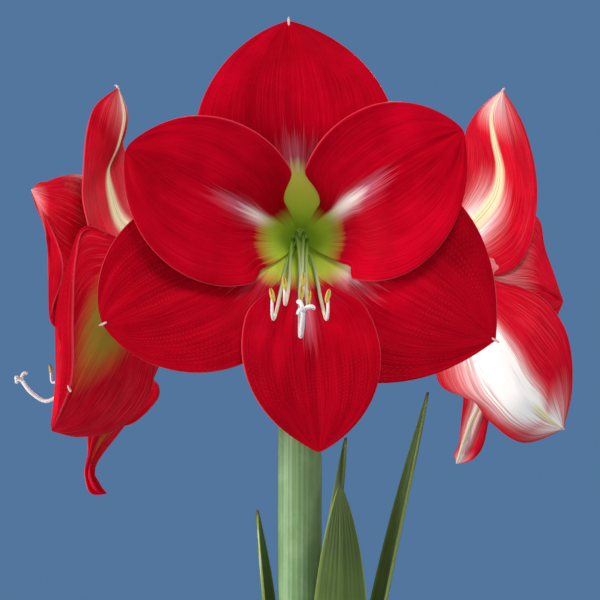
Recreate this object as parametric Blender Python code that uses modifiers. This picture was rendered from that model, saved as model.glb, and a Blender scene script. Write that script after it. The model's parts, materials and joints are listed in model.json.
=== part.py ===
"""An amaryllis in a pot: a bulb in soil, its leaves, and a stalk that carries three open blooms.

Lengths are in millimetres and are turned into metres where a shape is made. The origin is the middle of the pot's
underside, +Z is up, and the front bloom faces -Y. A bloom has a frame of its own: its origin is the foot of the
flower tube, +Z runs out of the mouth, +Y is its upper side, and angles in it run anticlockwise as seen from the front.
"""

import math
from collections import namedtuple

import bmesh
import bpy
from mathutils import Matrix, Vector

MM = 0.001
GAP = 0.3
WELD = 1e-6

# Pot
POT_HEIGHT = 140.0
POT_FOOT_RADIUS = 55.0
POT_TOP_RADIUS = 76.0
POT_WALL = 6.0
POT_FLOOR = 9.0
RIM_HEIGHT = 30.0
RIM_STEP = 4.5
DRAIN_HOLES = 3
DRAIN_HOLE_RADIUS = 5.0
DRAIN_HOLE_CIRCLE = 28.0

# Soil
SOIL_TOP = 121.0
SOIL_LUMP = 1.6

# Bulb
BULB_FOOT = 60.0
BULB_RADIUS = 46.0
BULB_WIDEST = 100.0
NECK_RADIUS = 27.0
NECK_TOP = 178.0
NECK_HOLLOW_RADIUS = 24.0
NECK_HOLLOW_FLOOR = 154.0

# Stalk
STALK_TOP = 552.0
STALK_FOOT_RADIUS = 13.6
STALK_RADIUS = 12.6
STALK_TOP_RADIUS = 11.6

# Flower stems and ovaries
PEDICEL_RADIUS = 3.6
PEDICEL_CIRCLE = 5.6
SOCKET_DEPTH = 5.0
OVARY_RADIUS = 6.2
OVARY_LENGTH = 17.0
TUBE_FOOT_RADIUS = 6.4

# Flower tube and funnel
TUBE_LENGTH = 12.0
TUBE_TOP_RADIUS = 8.4
ROOT_RADIUS = 6.0
ROOT_HEIGHT = 5.0
FUNNEL_DEPTH = 90.0
FUNNEL_RATE = 0.105
FUNNEL_POWER = 0.76
LAYER_GAP = 1.5
LAYER_RISE = 5.0
TIP_STRETCH = 0.96
TIP_ROUNDING = 16
TEPAL_THICKNESS = 0.9
TEPAL_COLUMNS = 5
TEPAL_ROWS = 12
DRAPE_ROWS = 13

# Stamens and style
HUB_OUTER_RADIUS = 4.7
HUB_INNER_RADIUS = 2.3
HUB_HEIGHT = 2.4
FILAMENT_RADIUS = 1.0
FILAMENT_CIRCLE = 3.55
FILAMENT_STEPS = 8
ANTHER_LENGTH = 7.5
ANTHER_RADIUS = 1.3
STYLE_RADIUS = 1.35
STIGMA_LENGTH = 5.0

# Leaves and bracts
LEAF_THICKNESS = 1.6
LEAF_FOOT = NECK_HOLLOW_FLOOR + 2.0
BRACT_THICKNESS = 0.7

# A tepal seen from its front: its layer, the angle and the reach of its tip; what it spans to its left and to its right
# (a half-angle, how square the outline is and how blunt its tip is); the part of that span that each side has at its
# foot, and where it widens, as shares of the reach; how far its midrib swings on the way out, how far the midrib
# leaves the funnel at four places (0.4, 0.6, 0.8 and all of its reach), and how far each margin is lifted.
Tepal = namedtuple("Tepal", "layer angle reach left right claws swing bends lift_left lift_right")
OPEN = (0.62, 0.1, 0.5)
NARROW = (0.6, 0.2, 0.36)
# A tepal seen from its side, shaped by hand: its layer, the angle of its foot, and what its left margin, midrib and
# right margin pass through, in the plant's millimetres.
Drape = namedtuple("Drape", "layer angle left middle right")
# A bloom: the heading that it faces, its distance from the stalk, the height of its foot above the stalk's top, how
# far it looks up, how long its stamens and style are beside the front bloom's, how much lower they hang, and its
# tepals, anticlockwise from the top one.
Bloom = namedtuple("Bloom", "heading out rise tilt length sag tepals")
# A leaf: where its centreline starts and ends, the two points that pull it, its width, the headings that its
# inner face has at foot and tip, the radius of its channel at foot and blade, and how blunt its tip is.
Leaf = namedtuple("Leaf", "foot pull_low pull_high tip width face_foot face_tip channel_foot channel blunt")

BLOOMS = {
    "front": Bloom(0, 48, 31, 0, 1.0, 0, [
        Tepal(
            "outer", 93, 112, (95, 1.2, 0.8), (88, 1.6, 0.9), (OPEN, OPEN),
            0, (0, 0, -2, -7), 0, 0,
        ),
        Tepal(
            "inner", 153, 100, (100, 1.1, 0.9), (75, 1, 0.8), ((0.85, 0.25, 0.35), (0.6, 0.2, 0.35)),
            2, (0, 0, 0, -2), 2, 4,
        ),
        Tepal(
            "outer", 204, 112, (95, 0.9, 0.7), (65, 1.2, 0.6), (OPEN, OPEN),
            4, (0, 0, -2, -6), 0, 0,
        ),
        Tepal(
            "inner", 275, 112, (43, 2.5, 1), (49, 2, 1.1), ((0.2, 0.1, 0.45), (0.2, 0.1, 0.45)),
            0, (0, 0, -3, -9), 2, 2,
        ),
        Tepal(
            "outer", 332, 115, (95, 1.9, 1.1), (110, 1.5, 1.1), (OPEN, OPEN),
            -4, (0, 0, -2, -6), 0, 0,
        ),
        Tepal(
            "inner", 33, 100, (68, 1.1, 0.7), (90, 1.8, 1.15), ((0.4, 0.2, 0.35), (0.85, 0.3, 0.35)),
            -6, (0, 0, 0, -2), 4, 2,
        ),
    ]),
    "left": Bloom(-110, 48, 29, 0, 0.92, 45, [
        Drape(
            "outer", 76,
            [(-77, 46, 597), (-94, 58, 608), (-103, 62, 622), (-106, 62, 637),
             (-108, 58, 649), (-107, 48, 660), (-108, 40, 670), (-109, 34, 677)],
            [(-77, 10, 586), (-93, 4, 588), (-105, 6, 596), (-112, 14, 613),
             (-114, 22, 628), (-108, 28, 643), (-105, 32, 660), (-109, 34, 677)],
            [(-78, -14, 572), (-96, -30, 568), (-114, -38, 577), (-121, -34, 596),
             (-124, -22, 618), (-124, -6, 640), (-121, 14, 663), (-109, 34, 677)],
        ),
        Tepal(
            "inner", 150, 92, (58, 2, 0.9), (58, 2, 0.9), (NARROW, NARROW),
            0, (0, 0, -4, -8), 2, 2,
        ),
        Drape(
            "outer", 207,
            [(-72, 38, 552), (-85, 46, 523), (-91, 50, 505), (-86, 50, 498),
             (-87, 50, 489), (-103, 52, 475), (-119, 56, 475), (-135, 58, 482)],
            [(-74, 48, 573), (-92, 66, 556), (-106, 76, 539), (-117, 80, 522),
             (-123, 80, 508), (-127, 76, 496), (-131, 68, 487), (-135, 58, 482)],
            [(-78, 60, 587), (-100, 84, 581), (-118, 96, 569), (-131, 100, 550),
             (-137, 98, 531), (-140, 90, 512), (-140, 76, 494), (-135, 58, 482)],
        ),
        Drape(
            "inner", 270,
            [(-73, 0, 550), (-87, -8, 521), (-104, -12, 495), (-121, -12, 475),
             (-122, -10, 462), (-124, -9, 450), (-121, -8, 439), (-112, -6, 438)],
            [(-69, 4, 550), (-82, -2, 521), (-100, -6, 495), (-112, -8, 474),
             (-120, -8, 460), (-122, -8, 450), (-118, -8, 441), (-112, -6, 438)],
            [(-64, 8, 550), (-77, 6, 521), (-90, 4, 495), (-105, 2, 474),
             (-117, -2, 458), (-119, -5, 450), (-116, -6, 444), (-112, -6, 438)],
        ),
        Drape(
            "outer", 302,
            [(-76, -16, 578), (-95, -38, 582), (-108, -49, 587), (-120, -54, 589),
             (-128, -55, 568), (-135, -54, 540), (-136, -50, 505), (-139, -45, 477)],
            [(-74, -14, 566), (-90, -36, 555), (-104, -48, 540), (-113, -53, 525),
             (-121, -55, 510), (-128, -53, 496), (-134, -50, 485), (-139, -45, 477)],
            [(-70, -2, 552), (-76, -6, 533), (-84, -8, 513), (-87, -10, 498),
             (-94, -14, 486), (-108, -22, 475), (-125, -34, 473), (-139, -45, 477)],
        ),
        Drape(
            "inner", 19.7,
            [(-77, 28, 588), (-102, 34, 606), (-117, 34, 619), (-129, 28, 624),
             (-139, 18, 623), (-147, 10, 620), (-152, 4, 618), (-156, -1, 614)],
            [(-78, 18, 582), (-100, 18, 585), (-116, 10, 591), (-127, 1, 596),
             (-136, -5, 602), (-144, -7, 606), (-151, -5, 610), (-156, -1, 614)],
            [(-76, 8, 572), (-96, 4, 559), (-114, -4, 548), (-131, -12, 536),
             (-142, -18, 537), (-144, -18, 560), (-145, -14, 586), (-156, -1, 614)],
        ),
    ]),
    "right": Bloom(112, 48, 30, 0, 0.8, 4, [
        Drape(
            "outer", 102.7,
            [(90, -8, 572), (102, -20, 565), (114, -28, 564), (127, -31, 574),
             (134, -29, 597), (134, -24, 623), (128, -18, 650), (117, -10, 671)],
            [(88, 4, 583), (97, 0, 590), (105, -6, 598), (113, -12, 610),
             (115, -16, 625), (111, -18, 642), (110, -15, 657), (117, -10, 671)],
            [(86, 26, 596), (90, 28, 607), (94, 26, 618), (96, 22, 628),
             (97, 16, 638), (98, 9, 650), (105, 0, 662), (117, -10, 671)],
        ),
        Drape(
            "inner", 207,
            [(86, -10, 568), (100, -18, 555), (114, -22, 540), (126, -24, 529),
             (137, -25, 528), (142, -25, 533), (146, -24, 540), (150, -22, 549)],
            [(88, -8, 572), (99, -20, 567), (111, -26, 563), (123, -28, 561),
             (132, -28, 560), (139, -27, 557), (145, -25, 553), (150, -22, 549)],
            [(88, -4, 578), (104, -12, 579), (119, -17, 587), (130, -19, 599),
             (137, -20, 595), (139, -21, 581), (145, -22, 564), (150, -22, 549)],
        ),
        Drape(
            "outer", 245.2,
            [(83, -12, 553), (79, -20, 533), (77, -28, 515), (80, -34, 501),
             (96, -40, 494), (107, -41, 481), (126, -38, 469), (149, -30, 477)],
            [(90, -22, 559), (98, -40, 546), (106, -52, 529), (115, -57, 512),
             (122, -57, 499), (130, -52, 491), (138, -43, 484), (149, -30, 477)],
            [(89, -14, 568), (101, -28, 564), (113, -37, 560), (126, -43, 556),
             (138, -45, 548), (149, -43, 530), (153, -37, 502), (149, -30, 477)],
        ),
        Drape(
            "inner", 270,
            [(78, 6, 556), (82, 4, 532), (87, 0, 514), (94, -6, 497),
             (93, -10, 481), (92, -12, 468), (90, -13, 461), (90, -14, 456)],
            [(81, 0, 556), (87, -8, 533), (94, -14, 513), (103, -18, 494),
             (98, -19, 479), (94, -18, 468), (92, -16, 461), (90, -14, 456)],
            [(85, -4, 556), (91, -12, 533), (100, -18, 514), (109, -20, 497),
             (107, -20, 478), (104, -19, 465), (98, -17, 458), (90, -14, 456)],
        ),
        Tepal(
            "outer", 338, 90, (52, 3, 0.9), (30, 3, 0.9), (OPEN, OPEN),
            0, (0, 0, -8, -14), 0, 0,
        ),
        Tepal(
            "inner", 32, 76, (52, 2, 0.9), (52, 2, 0.9), (NARROW, NARROW),
            0, (0, 0, -4, -8), 2, 2,
        ),
    ]),
}

# Stamens in a bloom's frame: the angle of the root, the sideways place of the anther, its depth under the axis, the
# lowest point of the filament and the distance that it reaches out of the tube's foot.
Stamen = namedtuple("Stamen", "root side depth dip out")
STAMENS = [
    Stamen(240, -14.0, 30.5, 43.0, 111.0),
    Stamen(300, 14.0, 31.0, 43.0, 112.0),
    Stamen(180, -7.8, 24.5, 35.5, 105.0),
    Stamen(0, 4.5, 31.5, 37.5, 102.0),
    Stamen(120, 0.6, 29.5, 36.0, 108.0),
    Stamen(60, 1.7, 22.5, 31.0, 103.0),
]
STYLE_ROUTE = [
    (0, 0, TUBE_LENGTH + GAP), (0, -1.2, 30), (0, -14.5, 52), (0.2, -34, 78), (0.2, -47, 102),
    (0.4, -51, 121), (1.0, -47, 134), (1.6, -38, 142),
]

LEAVES = {
    "leaf_left": Leaf(
        (-14.8, 0, LEAF_FOOT), (-14.8, 1, 250), (-17, 4, 350), (-25, 8, 427),
        30, 90, 74, 14.8, 20, 0.9,
    ),
    "leaf_back": Leaf(
        (7.4, 12.8, LEAF_FOOT), (8, 14.6, 255), (15, 28, 370), (27, 16, 469),
        25, -30, -68, 14.8, 20, 0.9,
    ),
    "leaf_broad": Leaf(
        (16.2, -9.5, LEAF_FOOT), (17, -12, 250), (27, -30, 345), (23, -14, 445),
        43, -120, -168, 18.8, 32, 0.9,
    ),
    "leaf_right": Leaf(
        (20, 7.4, LEAF_FOOT), (24.5, 10, 250), (45, 14, 365), (75, 10, 496),
        27, -70, -72, 21, 20, 0.95,
    ),
}
LEAF_COLUMNS = 5
LEAF_ROWS = 13

# Bracts: the heading of each withered spathe valve and how far it hangs.
BRACTS = {"bract_front": (20, 52), "bract_back": (196, 60)}
BRACT_WIDTH = 20.0


def smooth(x, low=0.0, high=1.0):
    """0 below low, 1 above high and a soft step between them."""
    t = min(1.0, max(0.0, (x - low) / (high - low)))
    return t * t * (3 - 2 * t)


def bezier(points, t):
    """The point at t on the cubic curve pulled by four points."""
    a, b, c, d = (Vector(p) for p in points)
    s = 1 - t
    return a * s**3 + b * 3 * s * s * t + c * 3 * s * t * t + d * t**3


def through(points, count):
    """count + 1 points, evenly spread by parameter, on one smooth curve through the given points."""
    p = [Vector(q) for q in points]
    p = [2 * p[0] - p[1], *p, 2 * p[-1] - p[-2]]
    spans = len(p) - 3
    route = []
    for i in range(count + 1):
        along = min(i / count * spans, spans - 1e-9)
        k = int(along)
        t = along - k
        a, b, c, d = p[k : k + 4]
        route.append(
            0.5 * (2 * b + (c - a) * t + (2 * a - 5 * b + 4 * c - d) * t * t + (3 * b - a - 3 * c + d) * t**3)
        )
    return route


def outward(heading):
    """The level direction of a heading: 0 is -Y, 90 is +X."""
    turn = math.radians(heading)
    return Vector((math.sin(turn), -math.cos(turn), 0))


def material(name, colour, roughness):
    made = bpy.data.materials.new(name)
    made.use_nodes = True
    shader = made.node_tree.nodes["Principled BSDF"]
    shader.inputs["Base Color"].default_value = (*colour, 1)
    shader.inputs["Roughness"].default_value = roughness
    shader.inputs["Metallic"].default_value = 0
    return made


def placed(name, mesh, finish, collection):
    """A new object of a mesh, in a collection and with a material."""
    thing = bpy.data.objects.new(name, mesh)
    mesh.materials.clear()
    if finish:
        mesh.materials.append(finish)
    collection.objects.link(thing)
    return thing


def baked(thing):
    """The object with its modifiers, or its curve, turned into its own mesh."""
    bpy.context.view_layer.update()
    graph = bpy.context.evaluated_depsgraph_get()
    mesh = bpy.data.meshes.new_from_object(thing.evaluated_get(graph))
    shape = bmesh.new()
    shape.from_mesh(mesh)
    bmesh.ops.remove_doubles(shape, verts=shape.verts, dist=WELD)
    shape.to_mesh(mesh)
    shape.free()
    if thing.type == "MESH":
        thing.modifiers.clear()
        thing.data = mesh
        return thing
    name, collection = thing.name, thing.users_collection[0]
    solid = bpy.data.objects.new(name + "_mesh", mesh)
    solid.matrix_world = thing.matrix_world
    collection.objects.link(solid)
    bpy.data.objects.remove(thing)
    solid.name = name
    return solid


def turned(name, profile, steps, finish, collection):
    """A profile of (radius, height) turned round Z. The profile runs down its outer side."""
    mesh = bpy.data.meshes.new(name)
    points = [(radius * MM, 0, height * MM) for radius, height in profile]
    mesh.from_pydata(points, [(i, i + 1) for i in range(len(points) - 1)], [])
    thing = placed(name, mesh, finish, collection)
    spin = thing.modifiers.new("Turn", "SCREW")
    spin.steps = spin.render_steps = steps
    spin.use_merge_vertices = True
    spin.merge_threshold = WELD * 10
    baked(thing)
    thing.data.shade_smooth()
    return thing


def tube(name, route, radii, sides, finish, collection):
    """A closed tube along a route, with a radius at each of its points."""
    curve = bpy.data.curves.new(name, "CURVE")
    curve.dimensions = "3D"
    curve.bevel_depth = MM
    curve.bevel_resolution = (sides - 4) // 2
    curve.use_fill_caps = True
    line = curve.splines.new("POLY")
    line.points.add(len(route) - 1)
    for point, place, radius in zip(line.points, route, radii):
        point.co = (*(Vector(place) * MM), 1)
        point.radius = radius
    thing = placed(name, curve, None, collection)
    solid = baked(thing)
    solid.data.materials.append(finish)
    solid.data.shade_smooth()
    return solid


def blade(name, columns, rows, point, thickness, finish, collection):
    """A flat grid bent so that a place along and across it lies at point(along, across), then given a thickness."""
    shape = bmesh.new()
    bmesh.ops.create_grid(shape, x_segments=columns, y_segments=rows, size=1.0)
    for vert in shape.verts:
        vert.co = point((vert.co.y + 1) / 2, vert.co.x) * MM
    bmesh.ops.remove_doubles(shape, verts=shape.verts, dist=WELD * 50)
    bmesh.ops.triangulate(shape, faces=shape.faces)
    bmesh.ops.recalc_face_normals(shape, faces=shape.faces)
    mesh = bpy.data.meshes.new(name)
    shape.to_mesh(mesh)
    shape.free()
    thing = placed(name, mesh, finish, collection)
    wall = thing.modifiers.new("Thickness", "SOLIDIFY")
    wall.thickness = thickness * MM
    wall.offset = 0
    return baked(thing)


def joined(thing, pieces, solver="EXACT"):
    """One solid of the object and its pieces."""
    group = bpy.data.collections.new(thing.name + "_pieces")
    bpy.context.scene.collection.children.link(group)
    for piece in pieces:
        for old in piece.users_collection:
            old.objects.unlink(piece)
        group.objects.link(piece)
    union = thing.modifiers.new("Union", "BOOLEAN")
    union.operation = "UNION"
    union.operand_type = "COLLECTION"
    union.collection = group
    union.solver = solver
    baked(thing)
    for piece in pieces:
        bpy.data.objects.remove(piece)
    bpy.data.collections.remove(group)
    return thing


def pot_inner_radius(height):
    """The radius of the pot's inner wall at a height."""
    share = (height - POT_FLOOR) / (POT_HEIGHT - POT_FLOOR)
    foot = POT_FOOT_RADIUS - POT_WALL + 1.5
    return foot + (POT_TOP_RADIUS - POT_WALL - foot) * share


def make_pot(parts, cutters):
    """A plain tapered pot with a thick rim and drain holes."""
    rim_foot = POT_HEIGHT - RIM_HEIGHT
    wall_at_rim = POT_FOOT_RADIUS + (POT_TOP_RADIUS - RIM_STEP - POT_FOOT_RADIUS) * rim_foot / POT_HEIGHT
    edge = 2.0
    profile = [
        (0, POT_FLOOR),
        (pot_inner_radius(POT_FLOOR) - edge, POT_FLOOR),
        (pot_inner_radius(POT_FLOOR + edge), POT_FLOOR + edge),
        (pot_inner_radius(POT_HEIGHT - edge), POT_HEIGHT - edge),
        (pot_inner_radius(POT_HEIGHT) + edge, POT_HEIGHT),
        (POT_TOP_RADIUS + 2 - edge, POT_HEIGHT),
        (POT_TOP_RADIUS + 2, POT_HEIGHT - edge),
        (POT_TOP_RADIUS, rim_foot + edge),
        (POT_TOP_RADIUS - edge, rim_foot),
        (wall_at_rim, rim_foot),
        (POT_FOOT_RADIUS, edge),
        (POT_FOOT_RADIUS - edge, 0),
        (0, 0),
    ]
    finish = material("terracotta", (0.55, 0.22, 0.12), 0.85)
    pot = turned("pot", profile, 32, finish, parts)
    for i in range(DRAIN_HOLES):
        bpy.ops.mesh.primitive_cylinder_add(
            vertices=16, radius=DRAIN_HOLE_RADIUS * MM, depth=4 * POT_FLOOR * MM
        )
        hole = bpy.context.object
        hole.name = f"drain_hole_{i + 1}"
        turn = math.tau * i / DRAIN_HOLES
        hole.location = Vector((math.cos(turn), math.sin(turn), 0)) * DRAIN_HOLE_CIRCLE * MM
        for old in hole.users_collection:
            old.objects.unlink(hole)
        cutters.objects.link(hole)
        hole.hide_render = True
        hole.display_type = "WIRE"
        cut = pot.modifiers.new("Drain hole", "BOOLEAN")
        cut.operation = "DIFFERENCE"
        cut.object = hole
    return pot


def bulb_radius(height):
    """The radius of the bulb's outside at a height: a globe below, drawn in to the neck above."""
    if height <= BULB_WIDEST:
        t = (BULB_WIDEST - height) / (BULB_WIDEST - BULB_FOOT)
        return max(12.0, BULB_RADIUS * math.sqrt(max(0.0, 1 - (0.97 * t) ** 2.4)))
    t = smooth(height, BULB_WIDEST - 6, NECK_TOP - 16)
    return BULB_RADIUS + (NECK_RADIUS - BULB_RADIUS) * t


def heights(count, low, high):
    return [low + (high - low) * i / count for i in range(count + 1)]


def make_bulb(parts):
    """The bulb with its neck, whose hollow holds the feet of the stalk and the leaves."""
    edge = 1.2
    rings = heights(6, BULB_FOOT, SOIL_TOP) + heights(5, SOIL_TOP, NECK_TOP - edge)[1:]
    profile = [
        (0, NECK_HOLLOW_FLOOR),
        (NECK_HOLLOW_RADIUS, NECK_HOLLOW_FLOOR),
        (NECK_HOLLOW_RADIUS + 0.4, NECK_TOP - edge),
        (NECK_HOLLOW_RADIUS + 1.3, NECK_TOP),
        *[(bulb_radius(h), h) for h in reversed(rings)],
        (0, BULB_FOOT),
    ]
    return turned("bulb", profile, 24, material("bulb_skin", (0.36, 0.20, 0.10), 0.6), parts)


def make_soil(parts):
    """The soil that fills the pot round the lower half of the bulb."""
    room = GAP * 2
    wall = [(pot_inner_radius(h) - room, h) for h in (SOIL_TOP, POT_FLOOR + 3)]
    bed = [(bulb_radius(h) + room, h) for h in heights(6, BULB_FOOT, SOIL_TOP)]
    inner, outer = bed[-1][0], wall[0][0]
    rings = [(inner + (outer - inner) * i / 4, SOIL_TOP) for i in (1, 2, 3)]
    profile = [
        (0, BULB_FOOT - room), (bed[0][0], BULB_FOOT - room), *bed[1:], *rings, *wall,
        (wall[1][0] - 4, POT_FLOOR + GAP), (0, POT_FLOOR + GAP),
    ]
    soil = turned("soil", profile, 24, material("soil", (0.045, 0.03, 0.022), 0.95), parts)
    for vert in soil.data.vertices:
        x, y, z = vert.co / MM
        radius = math.hypot(x, y)
        if z > SOIL_TOP - 0.1 and inner + 1 < radius < outer - 1:
            lump = math.sin(0.21 * x + 1.3) * math.cos(0.17 * y) + 0.5 * math.sin(0.43 * y + 0.12 * x)
            vert.co.z += SOIL_LUMP * lump * MM
    return soil


def make_stalk(parts, cutters):
    """The thick stalk, with one plain socket for each flower stem in its top."""
    foot = NECK_HOLLOW_FLOOR + GAP
    profile = [
        (0, STALK_TOP), (STALK_TOP_RADIUS - 2.5, STALK_TOP), (STALK_TOP_RADIUS, STALK_TOP - 1.5),
        (STALK_TOP_RADIUS + 0.4, STALK_TOP - 12), (STALK_RADIUS, STALK_TOP - 60),
        (STALK_RADIUS, STALK_TOP - 150), (STALK_RADIUS + 0.3, STALK_TOP - 250),
        (STALK_FOOT_RADIUS, foot + 60), (STALK_FOOT_RADIUS, foot + 2),
        (STALK_FOOT_RADIUS - 1.5, foot), (0, foot),
    ]
    stalk = turned("stalk", profile, 18, material("stalk_green", (0.22, 0.42, 0.16), 0.45), parts)
    for name, bloom in BLOOMS.items():
        bpy.ops.mesh.primitive_cylinder_add(
            vertices=20, radius=(PEDICEL_RADIUS + GAP) * MM, depth=SOCKET_DEPTH * 2 * MM
        )
        socket = bpy.context.object
        socket.name = name + "_socket"
        socket.location = (outward(bloom.heading) * PEDICEL_CIRCLE + Vector((0, 0, STALK_TOP))) * MM
        for old in socket.users_collection:
            old.objects.unlink(socket)
        cutters.objects.link(socket)
        socket.hide_render = True
        socket.display_type = "WIRE"
        cut = stalk.modifiers.new("Socket", "BOOLEAN")
        cut.operation = "DIFFERENCE"
        cut.object = socket
    return stalk


def bloom_frame(bloom):
    """The matrix, in millimetres, from a bloom's own frame to the plant's."""
    level = outward(bloom.heading)
    tilt = math.radians(bloom.tilt)
    facing = level * math.cos(tilt) + Vector((0, 0, math.sin(tilt)))
    side = Vector((math.cos(math.radians(bloom.heading)), math.sin(math.radians(bloom.heading)), 0))
    up = facing.cross(side)
    foot = level * bloom.out + Vector((0, 0, STALK_TOP + bloom.rise))
    frame = Matrix((side, up, facing)).transposed().to_4x4()
    frame.translation = foot
    return frame


def make_pedicel(name, bloom, finish, parts):
    """A flower stem that leaves its socket upright, bends over and swells into the ovary behind the bloom."""
    frame = bloom_frame(bloom)
    facing = frame.to_3x3() @ Vector((0, 0, 1))
    end = frame.translation - facing * GAP
    foot = outward(bloom.heading) * PEDICEL_CIRCLE + Vector((0, 0, STALK_TOP - SOCKET_DEPTH + GAP))
    pulls = [foot, foot + Vector((0, 0, 24)), end - facing * 30, end]
    count = 12
    route = [bezier(pulls, (i / count) ** 0.9) for i in range(count + 1)]
    radii = []
    for place in route:
        back = (place - end).length
        swell = math.sin(math.pi * min(1.0, back / OVARY_LENGTH)) ** 0.8 if back < OVARY_LENGTH else 0
        neck = (TUBE_FOOT_RADIUS - 1.2 - PEDICEL_RADIUS) * (1 - smooth(back, 0, OVARY_LENGTH * 0.6))
        radii.append(PEDICEL_RADIUS + neck + (OVARY_RADIUS - PEDICEL_RADIUS - neck * 0.6) * swell)
    return tube(name + "_pedicel", route, radii, 8, finish, parts)


def funnel_height(radius):
    """How far out of the tube's foot the outer whorl lies at a radius from the bloom's axis."""
    grown = max(0.0, radius - ROOT_RADIUS) ** FUNNEL_POWER
    return ROOT_HEIGHT + (FUNNEL_DEPTH - ROOT_HEIGHT) * (1 - math.exp(-FUNNEL_RATE * grown))


def curve_at(points, along):
    """The place at a share of the way along one smooth curve through points."""
    spans = len(points) - 1
    place = min(max(along, 0.0), 1.0) * spans
    k = min(int(place), spans - 1)
    t = place - k
    a, b, c, d = (points[min(max(j, 0), spans)] for j in (k - 1, k, k + 1, k + 2))
    return 0.5 * (2 * b + (c - a) * t + (2 * a - 5 * b + 4 * c - d) * t * t + (3 * b - a - 3 * c + d) * t**3)


def root_radius(tepal):
    return ROOT_RADIUS - (LAYER_GAP if tepal.layer == "inner" else 0)


def tepal_point(tepal, along, across):
    """A place on a tepal, in its bloom's frame: along runs from root to tip, across from -1 to 1."""
    inner = tepal.layer == "inner"
    root = root_radius(tepal)
    radius = root + (tepal.reach - root) * (1 - math.cos(math.pi * along**1.15)) / 2
    share = radius / tepal.reach
    spread, square, blunt = tepal.left if across > 0 else tepal.right
    narrow, low, high = tepal.claws[0 if across > 0 else 1]
    stretch = TIP_STRETCH if tepal.layer == "inner" else 1.0
    half = spread * max(0.0, 1 - (share * stretch) ** square) ** blunt
    half *= narrow + (1 - narrow) * smooth(share, low, high)
    if tepal.layer == "inner":
        half *= math.sqrt(max(0.0, 1 - share**TIP_ROUNDING))
    half = min(half, math.degrees(4.0 + 1.6 * radius) / max(radius, 1.0))
    middle = tepal.angle - tepal.swing * (1 - share)
    turn = math.radians(middle + across * half)
    height = funnel_height(radius + (LAYER_GAP if inner else 0)) + curve_at((0, 0, *tepal.bends), share)
    if inner:
        height += LAYER_RISE * smooth(share, 0.08, 0.5)
    margin = abs(across) ** 3 * smooth(share, 0.2, 0.5) * (1 - smooth(share, 0.8, 0.97))
    height += (tepal.lift_left if across > 0 else tepal.lift_right) * margin
    return Vector((radius * math.cos(turn), radius * math.sin(turn), height))


def draped_point(drape, frame):
    """A function that gives a place on a hand-shaped tepal, in its bloom's frame: an arch through its margins and its
    midrib."""
    inverse = frame.inverted()
    root = root_radius(drape)

    def from_foot(points, aside):
        turn = math.radians(drape.angle + aside)
        feet = [Vector((r * math.cos(turn), r * math.sin(turn), funnel_height(r))) for r in (root, root + 2.5)]
        return [*feet, *(inverse @ Vector(point) for point in points)]

    left, middle, right = from_foot(drape.left, 34), from_foot(drape.middle, 0), from_foot(drape.right, -34)

    def place(along, across):
        a, m, b = (curve_at(points, along) for points in (left, middle, right))
        return m + (a - b) / 2 * across + ((a + b) / 2 - m) * across * across

    return place


def make_perianth(name, bloom, finish, parts):
    """The six tepals of a bloom, grown together in the short tube at their foot."""
    frame = bloom_frame(bloom)
    foot = turned(
        name + "_perianth",
        [(0, TUBE_LENGTH), (TUBE_TOP_RADIUS, TUBE_LENGTH), (TUBE_FOOT_RADIUS, 0), (0, 0)],
        18, finish, parts,
    )
    tepals = []
    for i, tepal in enumerate(bloom.tepals):
        if isinstance(tepal, Drape):
            point, rows = draped_point(tepal, frame), DRAPE_ROWS
        else:
            rows = TEPAL_ROWS

            def point(along, across, tepal=tepal):
                return tepal_point(tepal, along, across)

        tepals.append(blade(f"{name}_tepal_{i + 1}", TEPAL_COLUMNS, rows, point, TEPAL_THICKNESS, finish, parts))
    bloomed = joined(foot, tepals)
    place_in(bloomed, frame)
    return bloomed


def place_in(thing, frame):
    """Moves an object from a bloom's own frame to the bloom."""
    placing = frame.copy()
    placing.translation = frame.translation * MM
    thing.matrix_world = placing @ thing.matrix_world


def hung(route, bloom):
    """A route of the front bloom's stamens or style, made as long and as low as in the given bloom."""
    low = TUBE_LENGTH + 10
    shrink = min(1.0, bloom.length)
    return [
        Vector((
            x,
            y * (1 - (1 - shrink) * smooth(z, low, 60)) - bloom.sag * smooth(z, 76, 116),
            z if z < low else low + (z - low) * bloom.length,
        ))
        for x, y, z in route
    ]


def stamen_route(stamen):
    """The way of a filament: straight out of the tube, down towards the lower tepals and up again at its end."""
    turn = math.radians(stamen.root)
    root = Vector((math.cos(turn), math.sin(turn), 0)) * FILAMENT_CIRCLE
    start = TUBE_LENGTH + GAP + 0.6
    return [
        root + Vector((0, 0, start)),
        root * 1.15 + Vector((0, -0.6, start + 15)),
        Vector((stamen.side * 0.45 + root.x * 0.4, root.y * 0.5 - stamen.dip * 0.26, 50)),
        Vector((stamen.side * 0.75, -stamen.dip * 0.72, stamen.out - 32)),
        Vector((stamen.side * 0.93, -stamen.dip * 0.98, stamen.out - 9)),
        Vector((stamen.side * 1.0, -stamen.dip * 0.93, stamen.out)),
        Vector((stamen.side, -stamen.depth, stamen.out + 1.5)),
    ]


def make_anther(name, lean, middle, finish, parts):
    """A narrow pollen sac, hung by its middle from the filament's end."""
    bpy.ops.mesh.primitive_uv_sphere_add(segments=6, ring_count=5, radius=MM)
    anther = bpy.context.object
    anther.name = name
    anther.data.materials.append(finish)
    turn = Matrix.Rotation(math.radians(lean), 4, "Z")
    swell = Matrix.Diagonal((ANTHER_RADIUS, ANTHER_LENGTH / 2, ANTHER_RADIUS, 1))
    anther.data.transform(Matrix.Translation(middle * MM) @ turn @ swell)
    for old in anther.users_collection:
        old.objects.unlink(anther)
    parts.objects.link(anther)
    return anther


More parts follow.
